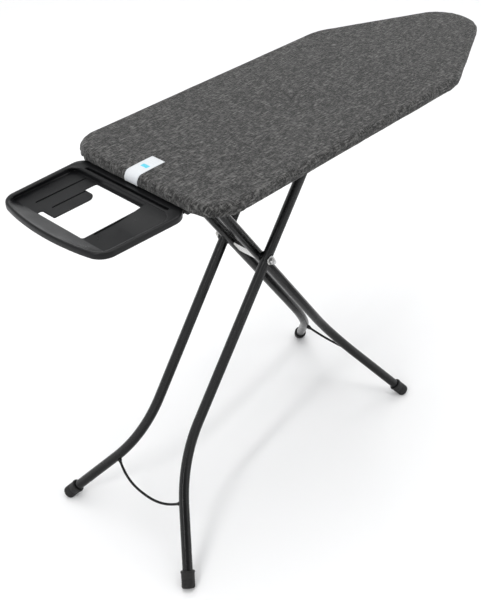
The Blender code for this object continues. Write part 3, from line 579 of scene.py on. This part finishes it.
def build_cover():
    """One fabric skin: the padded top, the turned-down edge, the gathered skirt and the hem beneath."""
    edge = outline(0.0042)
    section = cover_profile()
    spine_low, spine_high = REAR_X + HALF_WIDTH - 0.02, NOSE_X - 0.13
    along, lengths = 0.0, []
    for i, (point, _, _) in enumerate(edge):
        lengths.append(along)
        along += (edge[(i + 1) % len(edge)][0] - point).length
    bm = bmesh.new()
    uv_of = {}
    rows = []

    def vertex(place, flat):
        made = bm.verts.new(place)
        uv_of[made] = flat
        return made

    inner_inset = 0.0265
    interior = 16
    for k in range(interior):
        share = (1.0 - k / interior) ** 1.25
        row = []
        for point, out, bend in edge:
            rim_point = point - out * inner_inset
            spine = Vector((min(max(point.x, spine_low), spine_high), 0.0))
            flat = rim_point.lerp(spine, share)
            inset = inner_inset + (flat - rim_point).length
            row.append(vertex((flat.x, flat.y, TOP_Z + top_lift(flat, inset)), flat))
        rows.append(row)
    for inset, drop, slope, past in section:
        row = []
        for i, (point, out, bend) in enumerate(edge):
            ripple = gather(lengths[i], past, bend) * label_clear(point)
            tilt = radians(slope)
            place = point - out * (inset - ripple * cos(tilt))
            lift = top_lift(point - out * inset, inset) * max(0.0, sin(tilt))
            z = TOP_Z - drop + lift + ripple * sin(tilt) * (0.35 if slope < -45.0 else 1.0)
            row.append(vertex((place.x, place.y, z), point - out * (EDGE_ROUND - past)))
        rows.append(row)
    count = len(edge)
    for high, low in zip(rows, rows[1:]):
        for i in range(count):
            j = (i + 1) % count
            bm.faces.new((high[i], low[i], low[j], high[j]))
    unwrap(bm, uv_of)
    bmesh.ops.remove_doubles(bm, verts=bm.verts, dist=0.00002)
    cover = new_object("fitted_cover", bm, MATERIALS["melange_fabric"], 80.0)
    thicken(cover, FABRIC)
    stand_for(cover, "cover")
    return cover, [point + out * (section[-1][3] - EDGE_ROUND) for point, out, _ in edge]


def build_pad():
    """The foam underlay between the panel and the cover, soft at its edge."""
    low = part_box("foam_pad")[0]
    edge = outline(0.009)
    rings = [(0.0090, low.z), (0.0068, low.z + 0.0004), (0.0056, low.z + 0.0016), (0.0054, low.z + 0.0032),
             (0.0068, low.z + 0.0052), (0.0098, low.z + 0.0068), (0.0140, low.z + 0.0075)]
    bm = loft([[(*(p - n * inset), z) for p, n, _ in edge] for inset, z in rings])
    pad = stand_for(solid("foam_underlay", bm, sharp=60.0), "foam_pad")


PANEL_MARGIN = 0.0045
HOLE_PITCH, HOLE_R, HOLE_CLEAR = 0.024, 0.0085, 0.012


def build_panel():
    """The perforated steel top: a fine field of round holes inside a plain margin."""
    low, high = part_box("top_panel")
    bm = bmesh.new()

    def ring(points):
        verts = [bm.verts.new((x, y, high.z)) for x, y in points]
        for a, b in zip(verts, verts[1:] + verts[:1]):
            bm.edges.new((a, b))

    edge = outline(0.010)
    ring([tuple(p - n * PANEL_MARGIN) for p, n, _ in edge])
    row_step = HOLE_PITCH * sin(radians(60.0))
    rows = int(HALF_WIDTH / row_step) + 1
    columns = int((NOSE_X - REAR_X) / HOLE_PITCH) + 2
    for row in range(-rows, rows + 1):
        for column in range(columns):
            centre = Vector((REAR_X + HOLE_PITCH * (column + (0.5 if row % 2 else 0.0)), row * row_step))
            nearest = min(edge, key=lambda e: (e[0] - centre).length_squared)
            if (nearest[0] - centre).dot(nearest[1]) < PANEL_MARGIN + HOLE_R + HOLE_CLEAR:
                continue
            ring(arc(centre, HOLE_R, 0.0, 360.0, 10, include_end=False))
    bmesh.ops.triangle_fill(bm, edges=bm.edges, use_beauty=True)
    face_up(bm)
    panel = new_object("perforated_panel", bm, sharp=30.0)
    thicken(panel, high.z - low.z)
    stand_for(panel, "top_panel")


def build_rim():
    """The tube that the steel top is rolled round."""
    low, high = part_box("rim_tube")
    radius = (high.z - low.z) / 2.0
    path = [Vector((*(p - n * 0.0090), low.z + radius)) for p, n, _ in outline(0.010)]
    bm = sweep(path, UP, [radius] * len(path), sides=16, closed=True)
    stand_for(solid("rim_wire", bm, sharp=60.0), "rim_tube")


# ------------------------ label

LABEL_LOW, LABEL_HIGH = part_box("cover_label")
LABEL_Y = (LABEL_LOW.y + LABEL_HIGH.y) / 2.0
LABEL_RUN = 0.0660              # its straight length over the top
LABEL_LIFT = 0.0009             # how far it stands off the cloth
LABEL_STEPS, EDGE_STEPS, DROP_STEPS = 15, 10, 5     # its rows on the top, round the edge, hanging
TAPE = 0.0005


def label_path():
    """Down the middle of the tape: along the top, over the edge, and hanging in a slight wave."""
    run = [Vector((x, TOP_Z + top_lift(Vector((x, LABEL_Y)), x - REAR_X) + LABEL_LIFT))
           for x in [REAR_X + EDGE_ROUND + LABEL_RUN * (1.0 - i / (LABEL_STEPS - 1))
                     for i in range(LABEL_STEPS)]]
    radius = EDGE_ROUND + LABEL_LIFT
    centre = Vector((REAR_X + EDGE_ROUND, TOP_Z - EDGE_ROUND))
    for i in range(1, EDGE_STEPS + 1):
        a = radians(90.0 + 90.0 * i / EDGE_STEPS)
        run.append(centre + radius * Vector((cos(a), sin(a))))
    for i in range(1, DROP_STEPS + 1):
        run.append(Vector((REAR_X - LABEL_LIFT - 0.0006 * sin(i * 0.9), centre.y - 0.0021 * i)))
    return run


def build_label():
    """The tape, with its long edges curling slightly off the cloth."""
    run = label_path()
    width = LABEL_HIGH.y - LABEL_LOW.y
    columns = 12
    bm = bmesh.new()
    rows, past, uv_of = [], 0.0, {}
    for i, point in enumerate(run):
        if i:
            past += (point - run[i - 1]).length
        row = []
        for k in range(columns + 1):
            across = k / columns
            curl = 0.0010 * (2.0 * across - 1.0) ** 4 * min(1.0, past / 0.03)
            place = (point.x - (curl if i > 22 else 0.0), LABEL_LOW.y + width * across,
                     point.y + (curl * 0.5 if i < 18 else 0.0))
            made = bm.verts.new(place)
            uv_of[made] = (width * across, past)
            row.append(made)
        rows.append(row)
    for a, b in zip(rows, rows[1:]):
        for k in range(columns):
            bm.faces.new((a[k], a[k + 1], b[k + 1], b[k]))
    unwrap(bm, uv_of)
    face_up(bm)
    label = new_object("sewn_label", bm, sharp=60.0)
    thicken(label, TAPE)
    stand_for(label, "cover_label")
    stitches = build_stitches(run)


def build_stitches(run):
    """Short thread loops along both long sides and the inner end of the label."""
    bm = bmesh.new()
    inset, pitch, half = 0.0016, 0.0032, 0.0011

    def stitch(centre, direction):
        turn = direction.to_track_quat("X", "Z").to_matrix().to_4x4()
        scale = Matrix.Diagonal((half, 0.00028, 0.00028, 1.0))
        bmesh.ops.create_uvsphere(bm, u_segments=8, v_segments=6, radius=1.0,
                                  matrix=Matrix.Translation(centre) @ turn @ scale)

    for y in (LABEL_LOW.y + inset, LABEL_HIGH.y - inset):
        travelled, due = 0.0, inset
        for a, b in zip(run, run[1:]):
            length = (b - a).length
            while due <= travelled + length:
                spot = a.lerp(b, (due - travelled) / length)
                direction = Vector((b.x - a.x, 0.0, b.y - a.y)).normalized()
                stitch(Vector((spot.x, y, spot.y)), direction)
                due += pitch
            travelled += length
    y = LABEL_LOW.y + inset
    while y < LABEL_HIGH.y - inset:
        stitch(Vector((run[0].x - inset, y, run[0].y + 0.0001)), Vector((0.0, 1.0, 0.0)))
        y += pitch
    stitches = solid("label_stitches", bm, MATERIALS["label_satin"], 60.0)
    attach(stitches, "board")
    return stitches


# ------------------------ iron rest

def tray_ring(outer, side, inner, radius, z, bow=1.0):
    """A closed ring inside the tray's outline, drawn in by a different amount at each side."""
    x_in, x_out = REST_HIGH.x - inner, REST_LOW.x + outer
    low, high = REST_LOW.y + side, REST_HIGH.y - side
    near_r, far_r = radius * 0.95, radius * 0.78
    points = arc((x_in - near_r, low + near_r), near_r, -90.0, 0.0, 10)
    straight = 10
    for i in range(1, straight):
        points.append((x_in, low + near_r + (high - far_r - low - near_r) * i / straight))
    points += arc((x_in - far_r, high - far_r), far_r, 0.0, 90.0, 10)
    bulge = REST_BOW * bow
    taper = REST_TAPER * bow
    left, right = high - taper, low + taper
    centre_x = x_out + bulge + radius
    lean, swing = 88.0 + 2.0 * (1.0 - bow), 76.0 + 14.0 * (1.0 - bow)
    corner = arc((centre_x, left - radius), radius, lean, 90.0 + swing, 12)
    start = Vector(points[-1])
    points += [tuple(start.lerp(Vector(corner[0]), i / straight)) for i in range(1, straight)]
    points += corner
    middle, half = (left + right) / 2.0, (left - right) / 2.0 - radius
    steps = 18
    for i in range(1, steps):
        t = 1.0 - 2.0 * i / steps
        points.append((x_out + 0.9 * bulge * t * t, middle + half * t))
    corner = arc((centre_x, right + radius), radius, 270.0 - swing, 360.0 - lean, 12)
    points += corner
    start, end = Vector(corner[-1]), Vector(points[0])
    points += [tuple(start.lerp(end, i / straight)) for i in range(1, straight)]
    return [(x, y, z) for x, y in points]


def land_ramp():
    """The right land climbs smoothly to the band beside the board."""
    start, end = -0.604, -0.5035
    right, left = -0.1345, -0.0580
    climb = REST_HIGH.z - 0.0012 - REST_FLOOR_Z
    sections = []
    steps = 18
    for i in range(steps + 1):
        share = i / steps
        x = start + (end - start) * share
        z = REST_FLOOR_Z - 0.0004 + (climb + 0.0004) * share * share * (3.0 - 2.0 * share)
        low = REST_FLOOR_Z - 0.0012
        soft = min(0.0008, 0.3 * (z - low))
        sections.append([(x, right, low), (x, left, low), (x, left, z - soft), (x, left - soft, z),
                         (x, right, z)])
    return solid("land_ramp", loft(sections))


def rounded_slot(x, y, radius, steps=8):
    corners = ((x[1], y[1], 0.0), (x[0], y[1], 90.0), (x[0], y[0], 180.0), (x[1], y[0], 270.0))
    points = []
    for cx, cy, start in corners:
        inward = Vector((-radius if cx == x[1] else radius, -radius if cy == y[1] else radius))
        points += arc((cx + inward.x, cy + inward.y), radius, start, start + 90.0, steps)
    return points


def grown(points, amount):
    """Move a closed counter-clockwise outline outwards by `amount`."""
    count = len(points)
    moved = []
    for i in range(count):
        a, b, c = Vector(points[i - 1]), Vector(points[i]), Vector(points[(i + 1) % count])
        first, second = (b - a).normalized(), (c - b).normalized()
        out = Vector((first.y + second.y, -first.x - second.x))
        moved.append(tuple(b + out * amount / max(0.7, 0.5 * out.length_squared)))
    return moved


def sunk(name, points, floor, top, floor_round=0.0008, lip=0.0009):
    """A cutter with a filleted floor and a flared mouth, so that what it cuts has soft edges."""
    levels = [(-floor_round, floor), (-0.3 * floor_round, floor + 0.3 * floor_round),
              (0.0, floor + floor_round), (0.0, top - lip), (0.25 * lip, top - 0.35 * lip),
              (lip, top), (lip, top + 0.01)]
    return solid(name, loft([[(x, y, z) for x, y in grown(points, amount)] for amount, z in levels]))


def opening_outline():
    """The hole in the tray: one large field that notches in beside the left land, with round corners."""
    x_out, x_in = -0.6635, -0.5115
    right, left, notch = -0.049, 0.051, 0.090
    corners = [((x_out, right), 0.006), ((x_in, right), 0.005), ((x_in, notch), 0.006),
               ((x_in - 0.032, notch), 0.006), ((x_in - 0.032, left + 0.010), 0.008),
               ((x_in - 0.046, left), 0.006), ((x_out + 0.012, left), 0.004),
               ((x_out + 0.012, notch), 0.0055), ((x_out, notch), 0.0055)]
    points = []
    count = len(corners)
    for i in range(count):
        here, radius = Vector(corners[i][0]), corners[i][1]
        to_last = (Vector(corners[i - 1][0]) - here)
        to_next = (Vector(corners[(i + 1) % count][0]) - here)
        reach = min(radius, to_last.length * 0.48, to_next.length * 0.48)
        start, end = here + to_last.normalized() * reach, here + to_next.normalized() * reach
        for k in range(6):
            t = k / 5
            points.append(tuple(start.lerp(here, t).lerp(here.lerp(end, t), t)))
    return points


def build_tray():
    """The moulding from one loft of rings, up its hollow underside, over the rim and down to the floor."""
    top, base = REST_HIGH.z, REST_LOW.z
    lip, tuck = REST_LIP, -0.0040      # the board side tucks in under the cover
    under = [tray_ring(*row) for row in (
        (lip - 0.0030, 0.0150, 0.0370, 0.006, base, 0.0),
        (lip - 0.0045, 0.0146, 0.0366, 0.006, base, 0.0),
        (lip - 0.0080, 0.0130, 0.0350, 0.009, base + 0.0020, 0.1),
        (0.0120, 0.0100, 0.0300, 0.028, top - 0.0030, 0.8),
        (0.0040, 0.0036, 0.0045, 0.036, top - 0.0030),
        (0.0027, 0.0027, 0.0027, 0.0375, top - 0.0045),
        (0.0024, 0.0024, 0.0024, 0.038, base + 0.0004))]
    band_points = 31                   # each ring's points round the board side, where it is solid
    depths = (0.0, 0.0, 0.0002, 0.0006, 0.0006, 0.0004, 0.0003)
    rings = [[(x, y, base + depth if i < band_points else z) for i, (x, y, z) in enumerate(ring)]
             for ring, depth in zip(under, depths)]
    rings += [tray_ring(*row) for row in (
        (0.0020, 0.0020, tuck + 0.0012, 0.038, base),
        (0.0010, 0.0010, tuck + 0.0007, 0.039, base + 0.0001),
        (0.0003, 0.0003, tuck + 0.0002, 0.0397, base + 0.0008),
        (0.0000, 0.0000, tuck, 0.040, base + 0.0022),
        (0.0000, 0.0000, tuck, 0.040, top - 0.0036),
        (0.0003, 0.0003, tuck + 0.0001, 0.0397, top - 0.0020),
        (0.0009, 0.0009, tuck + 0.0004, 0.039, top - 0.0009),
        (0.0018, 0.0020, tuck + 0.0010, 0.038, top - 0.0002),
        (0.0026, 0.0030, tuck + 0.0018, 0.037, top),
        (0.0042, 0.0090, 0.0310, 0.034, top),
        (0.0054, 0.0101, 0.0322, 0.032, top - 0.0004),
        (0.0070, 0.0110, 0.0331, 0.030, top - 0.0013, 0.97))]
    start_z = top - 0.0020
    for share in (0.12, 0.25, 0.4, 0.55, 0.7, 0.82, 0.91, 0.97):
        z = start_z + (REST_FLOOR_Z + 0.0005 - start_z) * share
        rings.append(tray_ring(0.0080 + (lip - 0.0090) * share, 0.0116 + 0.0012 * share,
                               0.0336 + 0.0008 * share, 0.030 - 0.023 * share, z, 1.0 - share * 0.95))
    rings += [tray_ring(lip, 0.0136, 0.0352, 0.0062, REST_FLOOR_Z + 0.0001, 0.0),
              tray_ring(lip + 0.0016, 0.0148, 0.0364, 0.0055, REST_FLOOR_Z, 0.0)]
    tray = solid("moulded_tray", loft(rings), sharp=40.0)
    groove = rounded_slot((GROOVE_X - 0.0042, GROOVE_X + 0.0042), (-0.108, 0.142), 0.0040)
    cuts = [sunk("opening_cut", opening_outline(), base - 0.01, REST_FLOOR_Z),
            sunk("groove_cut", groove, top - 0.0068, top)]
    for y, start, end in ((0.123, -0.6415, -0.5115), (0.083, -0.6315, -0.5445), (-0.0545, -0.6395, -0.5125)):
        across = (y - SLOT_HALF_WIDTH, y + SLOT_HALF_WIDTH)
        cuts.append(sunk("slot_cut", rounded_slot((start, end), across, 0.0025, 5),
                         REST_FLOOR_Z - SLOT_DEPTH, REST_FLOOR_Z, 0.0003, 0.0004))
    for node in SCREWS:
        screw_low, screw_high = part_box(node)
        centre = (screw_low + screw_high) / 2.0
        drill = turned([(0.0, -0.004), (0.0023, -0.004), (0.0023, 0.0019 + GAP), (0.0, 0.0019 + GAP)],
                       Vector((centre.x, centre.y, base)), UP, 16)
        cuts.append(solid("drill_cut", drill))
    carve(tray, cuts)
    ramp = land_ramp()                 # a closed island that overlaps the tray: a union came back empty
    bm = bmesh.new()
    bm.from_mesh(tray.data)
    bm.from_mesh(ramp.data)
    bm.to_mesh(tray.data)
    bm.free()
    bpy.data.objects.remove(ramp, do_unlink=True)
    stand_for(tray, "iron_rest")


# ------------------------ stand

def leg_path(down, side, leg, top, end):
    """A tube's middle line: straight past the axle, then one bend outwards to the foot."""
    flare, bend = leg["flare"], leg["bend"]
    corner = FLOOR_REACH - (leg["foot_y"] - leg["y"]) / tan(flare)
    radius = bend / tan(flare / 2.0)
    flat = [(top, leg["y"]), (top + 0.0006, leg["y"]), (top + 0.02, leg["y"])]
    steps = 28
    for i in range(steps + 1):
        a = flare * i / steps
        flat.append((corner - bend + radius * sin(a), leg["y"] + radius * (1.0 - cos(a))))
    slope = tan(flare)
    for s in (end - 0.02, end):
        flat.append((s, leg["y"] + (s - corner) * slope))
    return [AXLE + down * s + Vector((0.0, side * y, 0.0)) for s, y in flat]


def cylinder_cut(name, x, z, radius, low, high):
    profile = [(0.0, low), (radius, low), (radius, high), (0.0, high)]
    return solid(name, turned(profile, Vector((x, 0.0, z)), ALONG_Y, 32), None)


def build_frame(prefix, down, leg, axle_hole, top_hole):
    """One leg frame's tubes with rolled ends, wire bow with weld fillets, and foot caps."""
    normal = ALONG_Y.cross(down).normalized()
    fall = -(down * cos(leg["flare"])).z
    end = FLOOR_REACH - 0.011 * cos(leg["flare"]) / fall
    top = -ARM - TUBE_PAST_PIVOT
    guides = []
    for side, label in SIDES:
        path = leg_path(down, side, leg, top, end)
        radii = [TUBE_R - 0.0005] + [TUBE_R] * (len(path) - 1)
        tube = solid(f"{prefix}_leg_{label}", sweep(path, normal, radii, TUBE_R - TUBE_WALL), sharp=45.0)
        y = side * leg["y"]
        reach = (y - TUBE_R - 0.004, y + TUBE_R + 0.004)
        upper = AXLE - down * ARM
        carve(tube, [cylinder_cut("axle_drill", AXLE.x, AXLE.z, axle_hole, *reach),
                     cylinder_cut("top_drill", upper.x, upper.z, top_hole, *reach)])
        stand_for(tube, f"{prefix}_tube_{label}")
        guides.append(solid("bow_guide", sweep(path, normal, [TUBE_R - 0.0004] * len(path))))
        build_foot(f"{prefix}_foot_{label}", path[-1], (path[-1] - path[-2]).normalized())
    half_y, end_s, middle_s = leg["wire"]
    count = 56
    points, radii = [], []
    for i in range(count + 1):
        t = -1.0 + 2.0 * i / count
        along = middle_s + (end_s - middle_s) * abs(t) ** 2.4
        points.append(AXLE + down * along + Vector((0.0, half_y * t, 0.0)))
        from_tube = max(0.0, half_y * (1.0 - abs(t)) - TUBE_R)
        radii.append(WIRE_R + WELD * max(0.0, 1.0 - from_tube / WELD_REACH) ** 2)
    bow = solid(f"{prefix}_bow", sweep(points, normal, radii, sides=20), sharp=50.0)
    carve(bow, guides)
    stand_for(bow, f"{prefix}_wire_bow")


def build_foot(node, tube_end, direction):
    """A rubber cup with a rolled collar, three shallow grips and a worn sole edge, flat on the floor."""
    seat = TUBE_R + 0.0001
    sole = (tube_end.z - 0.0050) / -direction.z
    mouth = sole - CAP_LENGTH
    profile = [(0.0, sole), (CAP_R - 0.0045, sole), (CAP_R - 0.0026, sole - 0.0004),
               (CAP_R - 0.0010, sole - 0.0018), (CAP_R - 0.0002, sole - 0.0040), (CAP_R, sole - 0.0065)]
    for grip in range(3):
        at = sole - 0.0125 - 0.0048 * grip
        profile += [(CAP_R, at + 0.0012), (CAP_R - 0.0006, at + 0.0006), (CAP_R - 0.0006, at - 0.0006),
                    (CAP_R, at - 0.0012)]
    collar = CAP_R + 0.0011
    profile += [(CAP_R, mouth + 0.0072), (CAP_R + 0.0003, mouth + 0.0062), (collar, mouth + 0.0050),
                (collar, mouth + 0.0020), (CAP_R + 0.0006, mouth + 0.0007), (CAP_R - 0.0006, mouth),
                (seat + 0.0012, mouth), (seat, mouth + 0.0012), (seat, 0.0001), (0.0, 0.0001)]
    cap = solid("cap_" + node, turned(profile, tube_end, direction), sharp=50.0)
    carve(cap, [slab("floor_cut", tube_end, 0.06, (-0.05, 0.0))])
    stand_for(cap, node)


def thread_profile(radius, low, high):
    """Rolled thread from low to high, as separate ridges, with its crests at the full radius."""
    points, at = [], low
    while at + THREAD_PITCH <= high:
        points += [(radius - THREAD_DEPTH, at), (radius, at + 0.35 * THREAD_PITCH),
                   (radius, at + 0.60 * THREAD_PITCH)]
        at += THREAD_PITCH
    return points


def build_rod(name, node, radius, threaded=0.0, chamfer=0.0006):
    """A rod along Y where the node lies, with chamfered ends and, if asked, threaded ones."""
    low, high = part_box(node)
    middle = Vector(((low.x + high.x) / 2.0, 0.0, (low.z + high.z) / 2.0))
    profile = [(0.0, low.y), (radius - chamfer, low.y), (radius - 0.0001, low.y + chamfer)]
    if threaded:
        profile += thread_profile(radius, low.y + chamfer, low.y + threaded)
        profile += [(radius, low.y + threaded + 0.0005), (radius, high.y - threaded - 0.0005)]
        profile += thread_profile(radius, high.y - threaded, high.y - chamfer)
    profile += [(radius - 0.0001, high.y - chamfer), (radius - chamfer, high.y), (0.0, high.y)]
    rod = solid(name, turned(profile, middle, ALONG_Y, 32), sharp=50.0)
    return stand_for(rod, node)


def build_axle_hardware():
    build_rod("threaded_axle", "axle", AXLE_R, threaded=0.016)
    bore = AXLE_R + 0.0001
    for side, label in SIDES:
        out = Vector((0, side, 0))
        for kind, name in (("washer", "pressed_washer_"), ("spacer", "turned_spacer_")):
            low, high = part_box(f"axle_{kind}_{label}")
            start = Vector((AXLE.x, low.y if side > 0 else high.y, AXLE.z))
            thick, radius = high.y - low.y, (high.x - low.x) / 2.0
            edge = min(0.0004, thick / 4.0)
            profile = [(bore, edge), (bore + edge, 0.0), (radius - edge, 0.0), (radius, edge)]
            profile += [(r, thick - z) for r, z in reversed(profile)]
            stand_for(solid(name + label, turned(profile, start, out), sharp=50.0), f"axle_{kind}_{label}")
        low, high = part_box(f"axle_nut_{label}")
        start = Vector((AXLE.x, low.y if side > 0 else high.y, AXLE.z))
        tall, half = high.y - low.y, NUT_FLATS / 2.0
        corner = half / cos(pi / 6.0)
        profile = [(bore, 0.0006), (bore + 0.0006, 0.0), (corner - 0.0010, 0.0), (corner, 0.0006),
                   (corner, tall - 0.0030), (corner - 0.0012, tall - 0.0022), (half - 0.0004, tall - 0.0020),
                   (half - 0.0008, tall - 0.0006), (half - 0.0014, tall), (bore + 0.0008, tall),
                   (bore, tall - 0.0006)]
        nut = turned(profile, start, out, 72, across_flats=NUT_FLATS)
        stand_for(solid("collar_nut_" + label, nut, sharp=28.0), f"axle_nut_{label}")


def build_hinge_and_slide():
    build_rod("hinge_pin", "hinge_rod", AXLE_R, threaded=0.0062)
    build_rod("sliding_rod", "slide_rod", 0.0060)
    build_rod("release_rod", "release_bar", 0.0035)
    build_rod("hook_pivot", "hook_pin", 0.0020, chamfer=0.0003)
    low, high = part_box("hinge_spacer")
    radius, bore = (high.x - low.x) / 2.0, AXLE_R + 0.0006
    profile = [(bore, low.y), (radius - 0.0004, low.y), (radius, low.y + 0.0004), (radius, high.y - 0.0004),
               (radius - 0.0004, high.y), (bore, high.y)]
    start = Vector((HINGE.x, 0, HINGE.z))
    spacer = solid("spacer_tube", turned(profile, start, ALONG_Y), sharp=50.0)
    stand_for(spacer, "hinge_spacer")


# ------------------------ stage

FLOOR_HALF = 60.0


def build_stage():
    """A pale floor to the horizon, a world that is bright low down, and three soft lamps."""
    slab("studio_floor", Vector((0.0, 0.0)), FLOOR_HALF, (-0.02, 0.0), floor_paint())

    world = bpy.data.worlds.new("studio")
    world.use_nodes = True
    SCENE.world = world
    tree = world.node_tree
    place = tree.nodes.new("ShaderNodeTexCoord")
    height = tree.nodes.new("ShaderNodeSeparateXYZ")
    glow = tree.nodes.new("ShaderNodeMapRange")
    for socket, value in (("From Min", 0.10), ("From Max", 0.50), ("To Min", 2.30), ("To Max", 0.30)):
        glow.inputs[socket].default_value = value
    tree.links.new(place.outputs["Generated"], height.inputs["Vector"])
    tree.links.new(height.outputs["Z"], glow.inputs["Value"])
    tree.links.new(glow.outputs["Result"], tree.nodes["Background"].inputs["Strength"])
    tree.nodes["Background"].inputs["Color"].default_value = (0.98, 0.99, 1.0, 1.0)

    target = Vector((0.0, 0.0, 0.7))
    for name, place, size, power in (("overhead", (0.8, 0.6, 6.5), (7.5, 7.5), 420.0),
                                     ("strip", (-3.3, -0.5, 3.1), (0.30, 2.4), 48.0),
                                     ("fill", (1.6, -3.6, 2.4), (1.2, 1.2), 16.0)):
        light = bpy.data.lights.new(name, "AREA")
        light.shape = "RECTANGLE"
        light.size, light.size_y = size
        light.energy = power
        lamp = bpy.data.objects.new(name, light)
        lamp.location = place
        lamp.rotation_mode = "QUATERNION"
        lamp.rotation_quaternion = (target - lamp.location).to_track_quat("-Z", "Y")
        SCENE.collection.objects.link(lamp)


def build_camera():
    """The photograph's view, from a camera fit: high, behind the iron rest and to the board's right."""
    azimuth, elevation, roll = radians(41.849), radians(36.415), radians(-0.063)
    back = Vector((-cos(elevation) * cos(azimuth), -cos(elevation) * sin(azimuth),
                   sin(elevation)))
    right = UP.cross(back).normalized()
    up = back.cross(right)
    tilted = (cos(roll) * right + sin(roll) * up, -sin(roll) * right + cos(roll) * up)
    turn = Matrix((tilted[0], tilted[1], back)).transposed()
    data = bpy.data.cameras.new("camera")
    data.lens = 59.21
    data.shift_x, data.shift_y = -0.0468, -0.0201
    camera = bpy.data.objects.new("camera", data)
    camera.matrix_world = Matrix.Translation((-1.5919, -1.3548, 1.9888)) @ turn.to_4x4()
    SCENE.collection.objects.link(camera)
    bpy.context.scene.camera = camera


# ------------------------ assembly

build_camera()
build_stage()
SCENE.view_settings.view_transform = "Standard"

cover, cut_line = build_cover()
build_pad()
build_panel()
build_rim()
build_label()
build_tray()
build_frame("outer", OUTER_DOWN, OUTER, AXLE_R + 2.0 * GAP, 0.0060 + GAP)
build_frame("inner", INNER_DOWN, INNER, AXLE_R + GAP, AXLE_R + 2.0 * GAP)
build_axle_hardware()
build_hinge_and_slide()

for node in ("rear_cross_member", "middle_cross_member", "front_cross_member", "slide_rail_left",
             "slide_rail_right", "inner_web_plate", "rest_arm_left", "rest_arm_right", "hook_bracket",
             "lock_plate_left", "lock_plate_right", "axle_bracket"):
    rolled_edges(node, 0.0004)
for node in ("slide_shoe_left", "slide_shoe_right", "transport_hook"):
    rolled_edges(node, 0.0007, 3)
rolled_edges("release_grip", 0.0022, 4)
for node in ("hinge_nut_left", "hinge_nut_right", "lock_pivot_bolt_left", "lock_pivot_bolt_right", *SCREWS):
    rolled_edges(node, 0.0002, 2, sharp=40.0)
rolled_edges("lock_spring", 0.0, subdivide=1)
